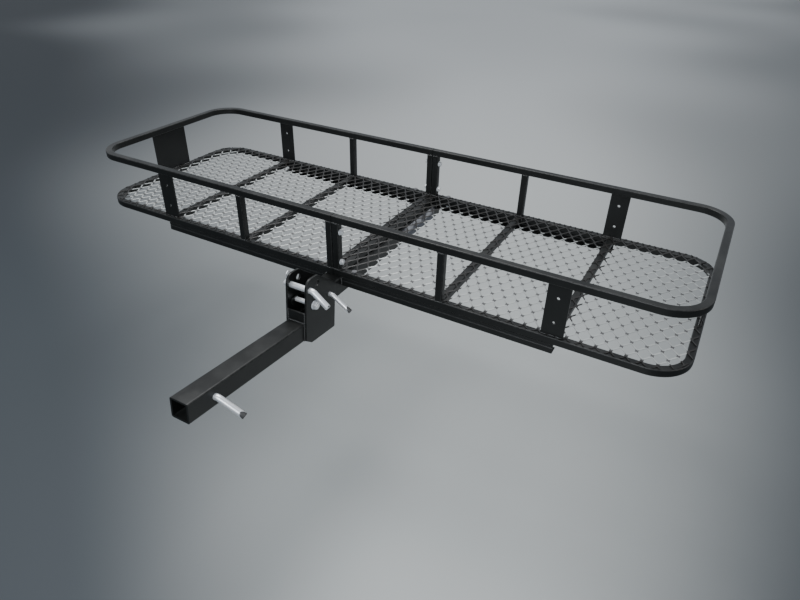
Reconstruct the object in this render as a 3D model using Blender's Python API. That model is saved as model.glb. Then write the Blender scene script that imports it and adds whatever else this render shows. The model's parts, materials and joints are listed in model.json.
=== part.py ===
"""Folding hitch cargo carrier: a two-piece steel basket on a hinged 2 in shank.

Metres, +Z up. X runs along the basket, +Y to the rear, away from the vehicle.
The origin is on the shank's axis at its receiver-pin hole.
Basket pieces are drawn from the basket's centre, with Z = 0 at the top of the floor frame.
Hitch pieces are drawn from the pivot with the shank level, then tipped nose up as one group.
"""

import math

import bmesh
import bpy
from mathutils import Matrix, Vector

# ---- basket -------------------------------------------------------------
LENGTH = 1.776            # overall, along X
DEPTH = 0.584             # overall, along Y
RAIL = 0.019              # square tube of the rails, bars and posts
RAIL_WALL = 0.0015
RAIL_EDGE = 0.0025        # outer corner radius of that tube
RAIL_EDGE_STEPS = 2
RAIL_RISE = 0.153         # top of the top rail above the top of the floor frame
CORNER_R = 0.092          # outer radius of the basket's plan corners
BEND_STEPS = 8
SEAM = 0.0016             # slit between the two basket halves
GAP = 0.0003              # clearance between pieces that touch or are welded

NARROW_X = 0.308          # square posts and the middle cross bars
PLATE_X = 0.592           # plate posts and the outer cross bars
PLATE_WIDTH = 0.053
PLATE_THICK = 0.005
PLATE_HOLE_D = 0.008
PLATE_HOLE_SPREAD = 0.032  # each hole from the plate's middle
END_PLATE_WIDTH = 0.140
END_PLATE_THICK = 0.003

MESH_THICK = 0.0025
MESH_INSET = 0.004        # mesh edge inside the frame's outer edge
MESH_NOTCH = 0.0008       # room round a post or a bolt head

# ---- support rails under the basket -------------------------------------
SUPPORT_DEPTH = 0.025
SUPPORT_HEIGHT = 0.024
SUPPORT_WALL = 0.0025
GROOVE_DEPTH = 0.0010     # pressed line along the support rail's face
GROOVE_WIDTH = 0.0030
GROOVE_DROP = 0.0070

# ---- main beam and shank, 2 in square tube -------------------------------
TUBE = 0.0508
BEAM_WALL = 0.003
SHANK_WALL = 0.0048
TUBE_EDGE = 0.0045
TUBE_EDGE_STEPS = 3
SHANK_BORE_EDGE = 0.001

# ---- hinge --------------------------------------------------------------
PIVOT_AHEAD = 0.131       # pivot in front of the basket
PIVOT_BELOW_BEAM_TOP = 0.0104
RISE_DEG = 5.2            # basket's climb to the rear when the shank is level
NOSE_R = 0.018            # beam end round the pivot bolt
FORK_BACK = 0.016         # top wall starts this far behind the pivot
FORK_LEDGE = 0.0005       # left of the top wall along each cheek
NOSE_STEPS = 14
SADDLE_STEPS = 10
HEEL_STEPS = 8
REST_PIN_BACK = 0.067     # rest pin behind the pivot, along the beam
REST_PIN_DROP = 0.004     # and below it
TONGUE_DROP = 0.008       # lower edge of the tongue, below the pivot

EAR_THICK = 0.006
EAR_FRONT = -0.031        # ear outline, from the pivot, with the shank level
EAR_REAR = 0.093
EAR_TOP = 0.077
EAR_LIP = 0.0125          # ear below the shank
EAR_PEAK = 0.012          # rear end of the flat top, where the slope begins
EAR_LOW_TOP = 0.021       # rear edge's height, where the slope ends
EAR_TOP_R = 0.022
EAR_TOP_STEPS = 6
EAR_FOOT_R = 0.003        # rear bottom corner
EAR_FOOT_STEPS = 2
EAR_SLOPE_R = 0.012       # corners at both ends of the slope
EAR_SLOPE_STEPS = 4
EAR_CHAMFER = (0.023, 0.015)
UPPER_PIN = (-0.017, 0.047)   # Y, Z from the pivot
SPARE_HOLE = (0.014, 0.055)
SHANK_CLEAR = 0.0033          # shank below the beam, were both level
SHANK_FRONT = -0.417
SHANK_REAR = 0.088
RECEIVER_PIN_Y = -0.342
GUSSET_THICK = 0.006
GUSSET_TOP = -0.016

# ---- fasteners and pins ---------------------------------------------------
PIVOT_BOLT_D = 0.0127
PIVOT_HEX = 0.019
PIVOT_HEAD = 0.008
PIVOT_NUT = 0.0105
PIVOT_TAIL = 0.014        # thread beyond the far ear
JOIN_BOLT_D = 0.008
JOIN_HEX = 0.013
JOIN_HEAD = 0.0053
JOIN_NUT = 0.0068
JOIN_TAIL = 0.009         # thread beyond the far wall
BOLT_SIDES = 12
BOLT_POINT = 0.001        # tapered end of a thread
BOLT_POINT_SCALE = 0.85
HEAD_TOP_SCALE = 0.9      # a bolt head narrows over its outermost part
HEAD_EDGE = 0.85
JOIN_HEIGHTS = (0.022, 0.108)
CLAMP_X = 0.061
BIG_PIN_D = 0.0159
SMALL_PIN_D = 0.0127
PIN_TAIL = 0.013          # straight pin beyond the far wall
PIN_NECK = 0.003          # straight pin between the wall and its bend
PIN_BEND_R = 0.020
PIN_BEND_DEG = 34.0
PIN_BEND_STEPS = 5
UPPER_HANDLE = 0.049      # straight part of each handle
REST_HANDLE = 0.058
RECEIVER_HANDLE = 0.062
REST_LEAN_DEG = 8.0       # handle turned to the rear from straight down
RECEIVER_LEAN_DEG = 24.0
PIN_END = 0.002           # tapered part at each end
PIN_TAIL_SCALE = 0.8
PIN_HANDLE_SCALE = 0.85
PIN_SIDES = 16
HOLE_ROOM = 0.0003        # a pin's or bolt's hole is this much larger in radius
CLIP_WIRE = 0.0026
CLIP_HOLE_D = 0.0036
CLIP_HOLE_SIDES = 10
CLIP_SIDES = 8
CLIP_TOP = 0.012          # where the loop starts, above the pin
CLIP_LEG = 0.036          # from there down through the pin
CLIP_CLEAR = 0.0005       # outer leg beside the pin
CLIP_LOOP_R = 0.0065
CLIP_LOOP_LIFT = 0.004    # loop's centre above CLIP_TOP
CLIP_LOOP_FROM = 205.0
CLIP_LOOP_TO = -25.0
CLIP_LOOP_STEPS = 14
CLIP_KNEE = -0.004        # outer leg turns out here, from the pin's axis
CLIP_TIP = (0.004, -0.010)

# ---- blank plate on the beam's side ---------------------------------------
TAG_FRONT = 0.036
TAG_LENGTH = 0.215
TAG_HEIGHT = 0.042
TAG_THICK = 0.0006

# ---- worked out -------------------------------------------------------------
HALF_L = LENGTH / 2
HALF_D = DEPTH / 2
RAIL_MID_Y = HALF_D - RAIL / 2
RAIL_MID_X = HALF_L - RAIL / 2
POST_LOW = GAP
POST_HIGH = RAIL_RISE - RAIL - GAP
INNER_X = SEAM / 2 + RAIL / 2
BEAM_TOP = -RAIL - GAP
BEAM_MID_Z = BEAM_TOP - TUBE / 2
PIVOT_Y = -(HALF_D + PIVOT_AHEAD)
PIVOT_Z = BEAM_TOP - PIVOT_BELOW_BEAM_TOP
EAR_INNER_X = TUBE / 2 + GAP
EAR_OUTER_X = EAR_INNER_X + EAR_THICK
SHANK_AXIS_DROP = TUBE - PIVOT_BELOW_BEAM_TOP + SHANK_CLEAR + TUBE / 2
EAR_BOTTOM = -(SHANK_AXIS_DROP + TUBE / 2 + EAR_LIP)
PIVOT = Vector((0.0, PIVOT_Y, PIVOT_Z))
RISE = math.radians(RISE_DEG)


# ---- materials ---------------------------------------------------------------
def material(name, colour, metallic, roughness):
    mat = bpy.data.materials.new(name)
    mat.use_nodes = True
    shader = mat.node_tree.nodes["Principled BSDF"]
    shader.inputs["Base Color"].default_value = (*colour, 1.0)
    shader.inputs["Metallic"].default_value = metallic
    shader.inputs["Roughness"].default_value = roughness
    mat.diffuse_color = (*colour, 1.0)
    return mat


# ---- sections and paths --------------------------------------------------------
def rounded_square(side, radius, steps=RAIL_EDGE_STEPS):
    """Points of a square with round corners, counter-clockwise."""
    ring = []
    inset = side / 2 - radius
    for corner in range(4):
        start = corner * math.pi / 2
        cx = inset * (1 if corner in (0, 3) else -1)
        cy = inset * (1 if corner in (0, 1) else -1)
        for step in range(steps + 1):
            angle = start + step / steps * math.pi / 2
            ring.append((cx + radius * math.cos(angle), cy + radius * math.sin(angle)))
    return ring


def circle(radius, count=PIN_SIDES):
    return [(radius * math.cos(2 * math.pi * i / count), radius * math.sin(2 * math.pi * i / count))
            for i in range(count)]


def hexagon(across_flats):
    return circle(across_flats / 2 / math.cos(math.pi / 6), 6)


def arc(centre, radius, start_deg, end_deg, steps):
    points = []
    for step in range(steps + 1):
        angle = math.radians(start_deg + (end_deg - start_deg) * step / steps)
        points.append((centre[0] + radius * math.cos(angle), centre[1] + radius * math.sin(angle)))
    return points


def station(origin, across, up):
    """Frame of one section: its u runs along across, its v along up."""
    across = Vector(across).normalized()
    up = Vector(up).normalized()
    frame = Matrix.Identity(4)
    frame.col[0][:3] = across
    frame.col[1][:3] = up
    frame.col[2][:3] = across.cross(up)
    frame.col[3][:3] = Vector(origin)
    return frame


def straight(start, end, across):
    """Two stations from start to end; across lies in the section."""
    start = Vector(start)
    end = Vector(end)
    run = (end - start).normalized()
    up = run.cross(Vector(across))
    return [station(start, across, up), station(end, across, up)]


def add_ring(bm, frame, ring, scale=1.0):
    return [bm.verts.new(frame @ Vector((u * scale, v * scale, 0.0))) for u, v in ring]


def bridge(bm, first, second):
    for i in range(len(first)):
        j = (i + 1) % len(first)
        bm.faces.new((first[i], first[j], second[j], second[i]))


def sweep(bm, stations, ring, bore=None, scales=None):
    """Skin ring through the stations; with a bore of as many points, an open tube."""
    scales = scales or [1.0] * len(stations)
    outer = [add_ring(bm, frame, ring, scale) for frame, scale in zip(stations, scales)]
    for first, second in zip(outer, outer[1:]):
        bridge(bm, first, second)
    if bore is None:
        bm.faces.new(list(reversed(outer[0])))
        bm.faces.new(outer[-1])
        return
    inner = [add_ring(bm, frame, bore) for frame in stations]
    for first, second in zip(inner, inner[1:]):
        bridge(bm, second, first)
    bridge(bm, inner[0], outer[0])
    bridge(bm, outer[-1], inner[-1])


def add_box(bm, low, high):
    low = Vector(low)
    high = Vector(high)
    made = bmesh.ops.create_cube(bm, size=1.0)
    size = high - low
    for vert in made["verts"]:
        vert.co = Vector((vert.co.x * size.x, vert.co.y * size.y, vert.co.z * size.z)) + (low + high) / 2


def add_prism(bm, outline, low_x, high_x):
    """Outline of (Y, Z) points, counter-clockwise seen from +X, made solid along X."""
    low = [bm.verts.new((low_x, y, z)) for y, z in outline]
    high = [bm.verts.new((high_x, y, z)) for y, z in outline]
    bridge(bm, low, high)
    bm.faces.new(list(reversed(low)))
    bm.faces.new(high)


# ---- objects -------------------------------------------------------------------
def new_object(name, bm, mat=None, parent=None, location=None):
    bmesh.ops.recalc_face_normals(bm, faces=bm.faces)
    mesh = bpy.data.meshes.new(name)
    bm.to_mesh(mesh)
    bm.free()
    obj = bpy.data.objects.new(name, mesh)
    bpy.context.scene.collection.objects.link(obj)
    if mat:
        mesh.materials.append(mat)
        mesh.shade_smooth()
        mesh.set_sharp_from_angle(angle=math.radians(35))
    if parent:
        obj.parent = parent
    if location:
        obj.location = location
    return obj


def swept(name, stations, ring, mat, parent, bore=None, scales=None, location=None):
    bm = bmesh.new()
    sweep(bm, stations, ring, bore, scales)
    return new_object(name, bm, mat, parent, location)


def cut_with(obj, cutter, operation="DIFFERENCE"):
    mod = obj.modifiers.new(cutter.name, "BOOLEAN")
    mod.operation = operation
    mod.solver = "EXACT"
    mod.object = cutter


def cutter(name, build, parent=None):
    bm = bmesh.new()
    build(bm)
    obj = new_object(name, bm, parent=parent)
    obj.hide_render = True
    obj.display_type = "WIRE"
    return obj


def empty(name, location, tilt=0.0):
    obj = bpy.data.objects.new(name, None)
    obj.location = location
    obj.rotation_euler = (tilt, 0.0, 0.0)
    bpy.context.scene.collection.objects.link(obj)
    return obj


def from_pivot(point):
    return Vector(point) - PIVOT


def turned(point, angle):
    """(Y, Z) turned about X by angle; positive lifts the rear."""
    y, z = point
    return (y * math.cos(angle) - z * math.sin(angle), y * math.sin(angle) + z * math.cos(angle))


def tilted(point):
    """(Y, Z) beside the beam, measured from the pivot, as the ears see it."""
    return turned(point, RISE)


# ---- basket frame ----------------------------------------------------------------
def rail_path(side, top_z):
    """U of one half: front end at the seam, round the outer end, back to the seam."""
    z = top_z - RAIL / 2
    radius = CORNER_R - RAIL / 2
    corner_x = HALF_L - CORNER_R
    corner_y = HALF_D - CORNER_R
    stations = [station((side * SEAM / 2, -RAIL_MID_Y, z), (0, -1, 0), (0, 0, 1))]
    for centre_y, start in ((-corner_y, -90), (corner_y, 0)):
        for step in range(BEND_STEPS + 1):
            angle = math.radians(start + 90 * step / BEND_STEPS)
            out = Vector((side * math.cos(angle), math.sin(angle), 0.0))
            centre = Vector((side * corner_x, centre_y, z))
            stations.append(station(centre + out * radius, out, (0, 0, 1)))
    stations.append(station((side * SEAM / 2, RAIL_MID_Y, z), (0, 1, 0), (0, 0, 1)))
    return stations


def make_rails(mats, parent, clamp_cutter):
    outer = rounded_square(RAIL, RAIL_EDGE)
    bore = rounded_square(RAIL - 2 * RAIL_WALL, RAIL_EDGE - RAIL_WALL)
    for side, word in ((-1, "left"), (1, "right")):
        for level, top_z in (("top", RAIL_RISE), ("bottom", 0.0)):
            path = [Matrix.Translation(-PIVOT) @ frame for frame in rail_path(side, top_z)]
            rail = swept(f"{level}_rail_{word}", path, outer, mats["black"], parent, bore)
            if level == "bottom":
                cut_with(rail, clamp_cutter)


def make_cross_bars(mats, parent):
    outer = rounded_square(RAIL, RAIL_EDGE)
    bore = rounded_square(RAIL - 2 * RAIL_WALL, RAIL_EDGE - RAIL_WALL)
    reach = HALF_D - RAIL - GAP
    for side, word in ((-1, "left"), (1, "right")):
        for place, x in (("inner", INNER_X), ("middle", NARROW_X), ("outer", PLATE_X)):
            path = straight(from_pivot((side * x, -reach, -RAIL / 2)),
                            from_pivot((side * x, reach, -RAIL / 2)), (1, 0, 0))
            swept(f"cross_bar_{place}_{word}", path, outer, mats["black"], parent, bore)


def make_posts(mats, parent, join_cutter):
    outer = rounded_square(RAIL, RAIL_EDGE)
    bore = rounded_square(RAIL - 2 * RAIL_WALL, RAIL_EDGE - RAIL_WALL)
    for side, word in ((-1, "left"), (1, "right")):
        for face, edge in ((-1, "front"), (1, "rear")):
            for kind, x in (("narrow", NARROW_X), ("centre", INNER_X)):
                path = straight(from_pivot((side * x, face * RAIL_MID_Y, POST_LOW)),
                                from_pivot((side * x, face * RAIL_MID_Y, POST_HIGH)), (1, 0, 0))
                post = swept(f"{kind}_post_{edge}_{word}", path, outer, mats["black"], parent, bore)
                if kind == "centre":
                    cut_with(post, join_cutter)


def plate_hole_heights():
    middle = (POST_LOW + POST_HIGH) / 2
    return (middle - PLATE_HOLE_SPREAD, middle + PLATE_HOLE_SPREAD)


def make_plates(mats, parent):
    def holes(bm):
        for x in (-PLATE_X, PLATE_X):
            for z in plate_hole_heights():
                path = straight(from_pivot((x, -HALF_D, z)), from_pivot((x, HALF_D, z)), (1, 0, 0))
                sweep(bm, path, circle(PLATE_HOLE_D / 2))
    drill = cutter("plate_hole_cutter", holes, parent)
    for side, word in ((-1, "left"), (1, "right")):
        for face, edge in ((-1, "front"), (1, "rear")):
            bm = bmesh.new()
            low = (side * PLATE_X - PLATE_WIDTH / 2, face * RAIL_MID_Y - PLATE_THICK / 2, POST_LOW)
            high = (side * PLATE_X + PLATE_WIDTH / 2, face * RAIL_MID_Y + PLATE_THICK / 2, POST_HIGH)
            add_box(bm, from_pivot(low), from_pivot(high))
            plate = new_object(f"plate_post_{edge}_{word}", bm, mats["black"], parent)
            cut_with(plate, drill)
        bm = bmesh.new()
        low = (side * RAIL_MID_X - END_PLATE_THICK / 2, -END_PLATE_WIDTH / 2, POST_LOW)
        high = (side * RAIL_MID_X + END_PLATE_THICK / 2, END_PLATE_WIDTH / 2, POST_HIGH)
        add_box(bm, from_pivot(low), from_pivot(high))
        new_object(f"end_plate_{word}", bm, mats["black"], parent)


def make_floor_mesh(mats, parent):
    """Each half's expanded sheet as one thin slab, notched round the posts."""
    top = MESH_THICK + 2 * GAP
    edge_y = HALF_D - MESH_INSET

    def notches(bm):
        out_y = HALF_D + RAIL
        for face in (-1, 1):
            spans = [(-INNER_X - RAIL / 2, INNER_X + RAIL / 2, HALF_D - RAIL)]
            for side in (-1, 1):
                spans.append((side * NARROW_X - RAIL / 2, side * NARROW_X + RAIL / 2, HALF_D - RAIL))
                spans.append((side * PLATE_X - PLATE_WIDTH / 2, side * PLATE_X + PLATE_WIDTH / 2,
                              RAIL_MID_Y - PLATE_THICK / 2))
            for low_x, high_x, inner_y in spans:
                ys = sorted((face * (inner_y - MESH_NOTCH), face * out_y))
                add_box(bm, from_pivot((low_x - MESH_NOTCH, ys[0], -top)),
                        from_pivot((high_x + MESH_NOTCH, ys[1], 2 * top)))
        for side in (-1, 1):
            inner_x = RAIL_MID_X - END_PLATE_THICK / 2 - MESH_NOTCH
            xs = sorted((side * inner_x, side * (HALF_L + RAIL)))
            half = END_PLATE_WIDTH / 2 + MESH_NOTCH
            add_box(bm, from_pivot((xs[0], -half, -top)), from_pivot((xs[1], half, 2 * top)))
            for face in (-1, 1):
                spot = (side * CLAMP_X, face * RAIL_MID_Y)
                path = straight(from_pivot((*spot, -top)), from_pivot((*spot, 2 * top)), (1, 0, 0))
                sweep(bm, path, circle(JOIN_HEX / 2 / math.cos(math.pi / 6) + MESH_NOTCH))

    notch = cutter("mesh_notch_cutter", notches, parent)
    radius = CORNER_R - MESH_INSET
    corner_x = HALF_L - CORNER_R
    corner_y = HALF_D - CORNER_R
    for side, word in ((-1, "left"), (1, "right")):
        outline = [(SEAM / 2, -edge_y)]
        outline += arc((corner_x, -corner_y), radius, -90, 0, BEND_STEPS)
        outline += arc((corner_x, corner_y), radius, 0, 90, BEND_STEPS)
        outline += [(SEAM / 2, edge_y)]
        bm = bmesh.new()
        low = [bm.verts.new(from_pivot((side * x, y, GAP))) for x, y in outline]
        high = [bm.verts.new(from_pivot((side * x, y, GAP + MESH_THICK))) for x, y in outline]
        bridge(bm, low, high)
        bm.faces.new(list(reversed(low)))
        bm.faces.new(high)
        slab = new_object(f"floor_mesh_{word}", bm, mats["mesh"], parent)
        cut_with(slab, notch)


# ---- under the basket ---------------------------------------------------------------
def channel_section():
    """C section, (inward, up) from its outer top edge, with a pressed line in the web."""
    depth, height, wall = SUPPORT_DEPTH, SUPPORT_HEIGHT, SUPPORT_WALL
    groove = -GROOVE_DROP
    return [(0, 0), (0, groove), (GROOVE_DEPTH, groove - GROOVE_WIDTH * 0.3),
            (GROOVE_DEPTH, groove - GROOVE_WIDTH * 0.7), (0, groove - GROOVE_WIDTH),
            (0, -height), (depth, -height), (depth, wall - height), (wall, wall - height),
            (wall, -wall), (depth, -wall), (depth, 0)]


def make_supports(mats, parent, clamp_cutter):
    top = BEAM_TOP
    outer_x = PLATE_X + RAIL / 2
    for side, word in ((-1, "left"), (1, "right")):
        for face, edge in ((-1, "front"), (1, "rear")):
            ring = channel_section()
            inward = Vector((0, -face, 0))
            stations = [station(from_pivot((side * x, face * HALF_D, top)), inward, (0, 0, 1))
                        for x in (TUBE / 2 + GAP, outer_x)]
            rail = swept(f"support_rail_{edge}_{word}", stations, ring, mats["black"], parent)
            cut_with(rail, clamp_cutter)


def tongue_outline():
    """Side view of the beam from the pivot: round nose, tongue, then full depth behind
    an arc that clears the rest pin as the beam swings up."""
    far = HALF_D - PIVOT_Y + TUBE
    top = TUBE
    swing = math.hypot(REST_PIN_BACK, REST_PIN_DROP)
    pin_room = SMALL_PIN_D / 2 + GAP
    outline = [(far, top), (-math.sqrt(NOSE_R ** 2 - PIVOT_BELOW_BEAM_TOP ** 2), top)]
    start = 180 - math.degrees(math.asin(PIVOT_BELOW_BEAM_TOP / NOSE_R))
    end = 360 - math.degrees(math.asin(TONGUE_DROP / NOSE_R))
    outline += arc((0, 0), NOSE_R, start, end, NOSE_STEPS)
    saddle_front = -math.sqrt(pin_room ** 2 - (TONGUE_DROP - REST_PIN_DROP) ** 2)
    start = 180 + math.degrees(math.asin((TONGUE_DROP - REST_PIN_DROP) / pin_room))
    outline.append((REST_PIN_BACK + saddle_front, -TONGUE_DROP))
    outline += arc((REST_PIN_BACK, -REST_PIN_DROP), pin_room, start, 0, SADDLE_STEPS)[1:]
    clear = swing + pin_room
    first = -math.degrees(math.asin(REST_PIN_DROP / swing))
    last = -math.degrees(math.asin(TUBE / clear))
    outline += arc((0, 0), clear, first + (last - first) / HEEL_STEPS, last, HEEL_STEPS - 1)
    outline.append((far, -TUBE))
    return outline


def make_beam(mats, parent):
    middle = BEAM_MID_Z - PIVOT_Z
    rear = HALF_D - PIVOT_Y
    outer = rounded_square(TUBE, TUBE_EDGE, TUBE_EDGE_STEPS)
    bore = rounded_square(TUBE - 2 * BEAM_WALL, TUBE_EDGE - BEAM_WALL, TUBE_EDGE_STEPS)
    path = straight((0, -TUBE, middle), (0, rear, middle), (1, 0, 0))
    beam = swept("main_beam", path, outer, mats["black"], parent, bore)
    side_view = cutter("beam_side_view",
                       lambda bm: add_prism(bm, tongue_outline(), -TUBE, TUBE), parent)
    cut_with(beam, side_view, "INTERSECT")

    def fork_and_bore(bm):
        half = TUBE / 2 - BEAM_WALL - FORK_LEDGE
        add_box(bm, (-half, -TUBE, -TUBE), (half, FORK_BACK, TUBE))
        sweep(bm, straight((-TUBE, 0, 0), (TUBE, 0, 0), (0, 1, 0)),
              circle(PIVOT_BOLT_D / 2 + HOLE_ROOM))
    cut_with(beam, cutter("beam_fork_cutter", fork_and_bore, parent))


def make_tag(mats, parent):
    bm = bmesh.new()
    x = TUBE / 2 + GAP
    low = (x, TAG_FRONT, BEAM_MID_Z - TAG_HEIGHT / 2)
    high = (x + TAG_THICK, TAG_FRONT + TAG_LENGTH, BEAM_MID_Z + TAG_HEIGHT / 2)
    add_box(bm, from_pivot(low), from_pivot(high))
    new_object("beam_side_tag", bm, mats["tag"], parent)


# ---- hitch side -----------------------------------------------------------------------
def ear_outline():
    """Seen from +X with the shank level: Y to the right, Z up, counter-clockwise."""
    rise_y, rise_z = EAR_CHAMFER
    outline = [(EAR_FRONT + rise_y, EAR_BOTTOM)]
    outline += arc((EAR_REAR - EAR_FOOT_R, EAR_BOTTOM + EAR_FOOT_R), EAR_FOOT_R, -90, 0, EAR_FOOT_STEPS)
    low_y, high_z = EAR_REAR - EAR_SLOPE_R, EAR_TOP - EAR_SLOPE_R
    facing = math.degrees(math.atan2(low_y - EAR_PEAK, high_z - EAR_LOW_TOP))
    outline += arc((low_y, EAR_LOW_TOP), EAR_SLOPE_R, 0, facing, EAR_SLOPE_STEPS)
    outline += arc((EAR_PEAK, high_z), EAR_SLOPE_R, facing, 90, EAR_SLOPE_STEPS)
    top_z = EAR_TOP - EAR_TOP_R
    outline += arc((EAR_FRONT + EAR_TOP_R, top_z), EAR_TOP_R, 90, 180, EAR_TOP_STEPS)
    outline.append((EAR_FRONT, EAR_BOTTOM + rise_z))
    return outline


def make_ears(mats, parent):
    holes = ((UPPER_PIN, BIG_PIN_D), (SPARE_HOLE, BIG_PIN_D), ((0.0, 0.0), PIVOT_BOLT_D),
             (tilted((REST_PIN_BACK, -REST_PIN_DROP)), SMALL_PIN_D))

    def drill(bm):
        for (y, z), size in holes:
            path = straight((-TUBE, y, z), (TUBE, y, z), (0, 1, 0))
            sweep(bm, path, circle(size / 2 + HOLE_ROOM))
    drills = cutter("ear_hole_cutter", drill, parent)
    for side, word in ((-1, "left"), (1, "right")):
        bm = bmesh.new()
        xs = sorted((side * EAR_INNER_X, side * EAR_OUTER_X))
        add_prism(bm, ear_outline(), xs[0], xs[1])
        ear = new_object(f"hinge_ear_{word}", bm, mats["black"], parent)
        cut_with(ear, drills)


def make_shank(mats, parent):
    outer = rounded_square(TUBE, TUBE_EDGE, TUBE_EDGE_STEPS)
    bore = rounded_square(TUBE - 2 * SHANK_WALL, SHANK_BORE_EDGE, TUBE_EDGE_STEPS)
    path = straight((0, SHANK_FRONT, -SHANK_AXIS_DROP), (0, SHANK_REAR, -SHANK_AXIS_DROP), (1, 0, 0))
    shank = swept("shank_tube", path, outer, mats["black"], parent, bore)

    def drill(bm):
        path = straight((-TUBE, RECEIVER_PIN_Y, -SHANK_AXIS_DROP),
                        (TUBE, RECEIVER_PIN_Y, -SHANK_AXIS_DROP), (0, 1, 0))
        sweep(bm, path, circle(BIG_PIN_D / 2 + HOLE_ROOM))
    cut_with(shank, cutter("receiver_hole_cutter", drill, parent))

    bm = bmesh.new()
    reach = EAR_INNER_X - GAP
    low_z = TUBE / 2 - SHANK_AXIS_DROP + GAP
    add_box(bm, (-reach, EAR_FRONT + GAP, low_z), (reach, EAR_FRONT + GUSSET_THICK, GUSSET_TOP))
    new_object("ear_gusset", bm, mats["black"], parent)


# ---- bolts, nuts and pins ----------------------------------------------------------------
def make_bolt(name, head_at, along, grip, tail, shank_d, across_flats, head_h, mat, parent):
    """Hex bolt: its head stands outside head_at, its shank runs along."""
    along = Vector(along)
    across = Vector((0, 1, 0)) if abs(along.x) > 0.5 else Vector((1, 0, 0))
    head_at = Vector(head_at)
    up = along.cross(across)
    bm = bmesh.new()
    flat = hexagon(across_flats)
    sides = BOLT_SIDES
    outer = [station(head_at - along * drop, across, up) for drop in (head_h, head_h * HEAD_EDGE, GAP)]
    rings = [add_ring(bm, frame, flat, scale)
             for frame, scale in zip(outer, (HEAD_TOP_SCALE, 1.0, 1.0))]
    for first, second in zip(rings, rings[1:]):
        bridge(bm, first, second)
    bm.faces.new(list(reversed(rings[0])))
    round_ring = circle(shank_d / 2, sides)
    depths = (-GAP, grip + tail - BOLT_POINT, grip + tail)
    shafts = [add_ring(bm, station(head_at + along * depth, across, up), round_ring, scale)
              for depth, scale in zip(depths, (1.0, 1.0, BOLT_POINT_SCALE))]
    for i in range(6):
        j = (i + 1) % 6
        near = shafts[0][2 * i:2 * i + 2] + [shafts[0][(2 * i + 2) % sides]]
        bm.faces.new([rings[-1][i], rings[-1][j], near[2], near[1], near[0]])
    for first, second in zip(shafts, shafts[1:]):
        bridge(bm, first, second)
    bm.faces.new(shafts[-1])
    return new_object(name, bm, mat, parent)


def make_nut(name, seat_at, along, height, bolt_d, across_flats, mat, parent):
    """Hex nut: it stands on seat_at and faces along."""
    along = Vector(along)
    across = Vector((0, 1, 0)) if abs(along.x) > 0.5 else Vector((1, 0, 0))
    up = along.cross(across)
    flat = hexagon(across_flats)
    flat = [point for i, a in enumerate(flat)
            for point in (a, ((a[0] + flat[(i + 1) % 6][0]) / 2, (a[1] + flat[(i + 1) % 6][1]) / 2))]
    bore = circle(bolt_d / 2 + HOLE_ROOM, BOLT_SIDES)
    stations = [station(Vector(seat_at) + along * (GAP + lift), across, up) for lift in (0.0, height)]
    return swept(name, stations, flat, mat, parent, bore)


def pin_path(low_x, high_x, handle):
    """Along +X from the tail, then bent downward into a short handle."""
    stations = [station((x, 0, 0), (0, 1, 0), (0, 0, 1)) for x in (low_x, low_x + PIN_END, high_x)]
    for step in range(1, PIN_BEND_STEPS + 1):
        angle = math.radians(PIN_BEND_DEG) * step / PIN_BEND_STEPS
        centre = Vector((high_x, 0, -PIN_BEND_R))
        out = Vector((math.sin(angle), 0, math.cos(angle)))
        stations.append(station(centre + out * PIN_BEND_R, (0, 1, 0), out))
    last = stations[-1]
    run = last.col[2].to_3d()
    for reach in (handle - PIN_END, handle):
        frame = last.copy()
        frame.col[3][:3] = last.col[3].to_3d() + run * reach
        stations.append(frame)
    return stations


def make_pin(name, place, wall_x, diameter, handle, mats, parent, lean_deg=0.0):
    """Bent pull pin through a pair of walls whose outer faces are at +-wall_x."""
    lean = Matrix.Rotation(math.radians(lean_deg), 4, "X")
    path = [lean @ frame for frame in pin_path(-wall_x - PIN_TAIL, wall_x + PIN_NECK, handle)]
    scales = [PIN_TAIL_SCALE] + [1.0] * (len(path) - 2) + [PIN_HANDLE_SCALE]
    pin = swept(name, path, circle(diameter / 2), mats["zinc"], parent, scales=scales,
                location=(0.0, *place))

    def clip_hole(bm):
        x = clip_x(wall_x)
        path = straight((x, 0, -diameter), (x, 0, diameter), (1, 0, 0))
        sweep(bm, path, circle(CLIP_HOLE_D / 2, CLIP_HOLE_SIDES))
    cross = cutter(f"{name}_hole_cutter", clip_hole, pin)
    cut_with(pin, cross)
    return pin


def clip_x(wall_x):
    return -wall_x - PIN_TAIL / 2


def make_clip(mats, pin):
    """Hairpin: one leg through the pin's cross hole, loop above, the other leg outside."""
    clear = BIG_PIN_D / 2 + CLIP_WIRE / 2 + CLIP_CLEAR
    top = BIG_PIN_D / 2 + CLIP_TOP
    ring = circle(CLIP_WIRE / 2, CLIP_SIDES)
    points = [(0.0, top - CLIP_LEG), (0.0, top)]
    points += arc((clear / 2, top + CLIP_LOOP_LIFT), CLIP_LOOP_R, CLIP_LOOP_FROM, CLIP_LOOP_TO,
                  CLIP_LOOP_STEPS)
    points += [(clear, top), (clear, CLIP_KNEE), (clear + CLIP_TIP[0], CLIP_TIP[1])]
    stations = []
    for i, (y, z) in enumerate(points):
        before = Vector(points[max(i - 1, 0)])
        after = Vector(points[min(i + 1, len(points) - 1)])
        run = (after - before).normalized()
        stations.append(station((0, y, z), (1, 0, 0), Vector((0, -run.y, run.x))))
    return swept("upper_pin_clip", stations, ring, mats["zinc"], pin,
                 location=(clip_x(EAR_OUTER_X), 0.0, 0.0))


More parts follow.
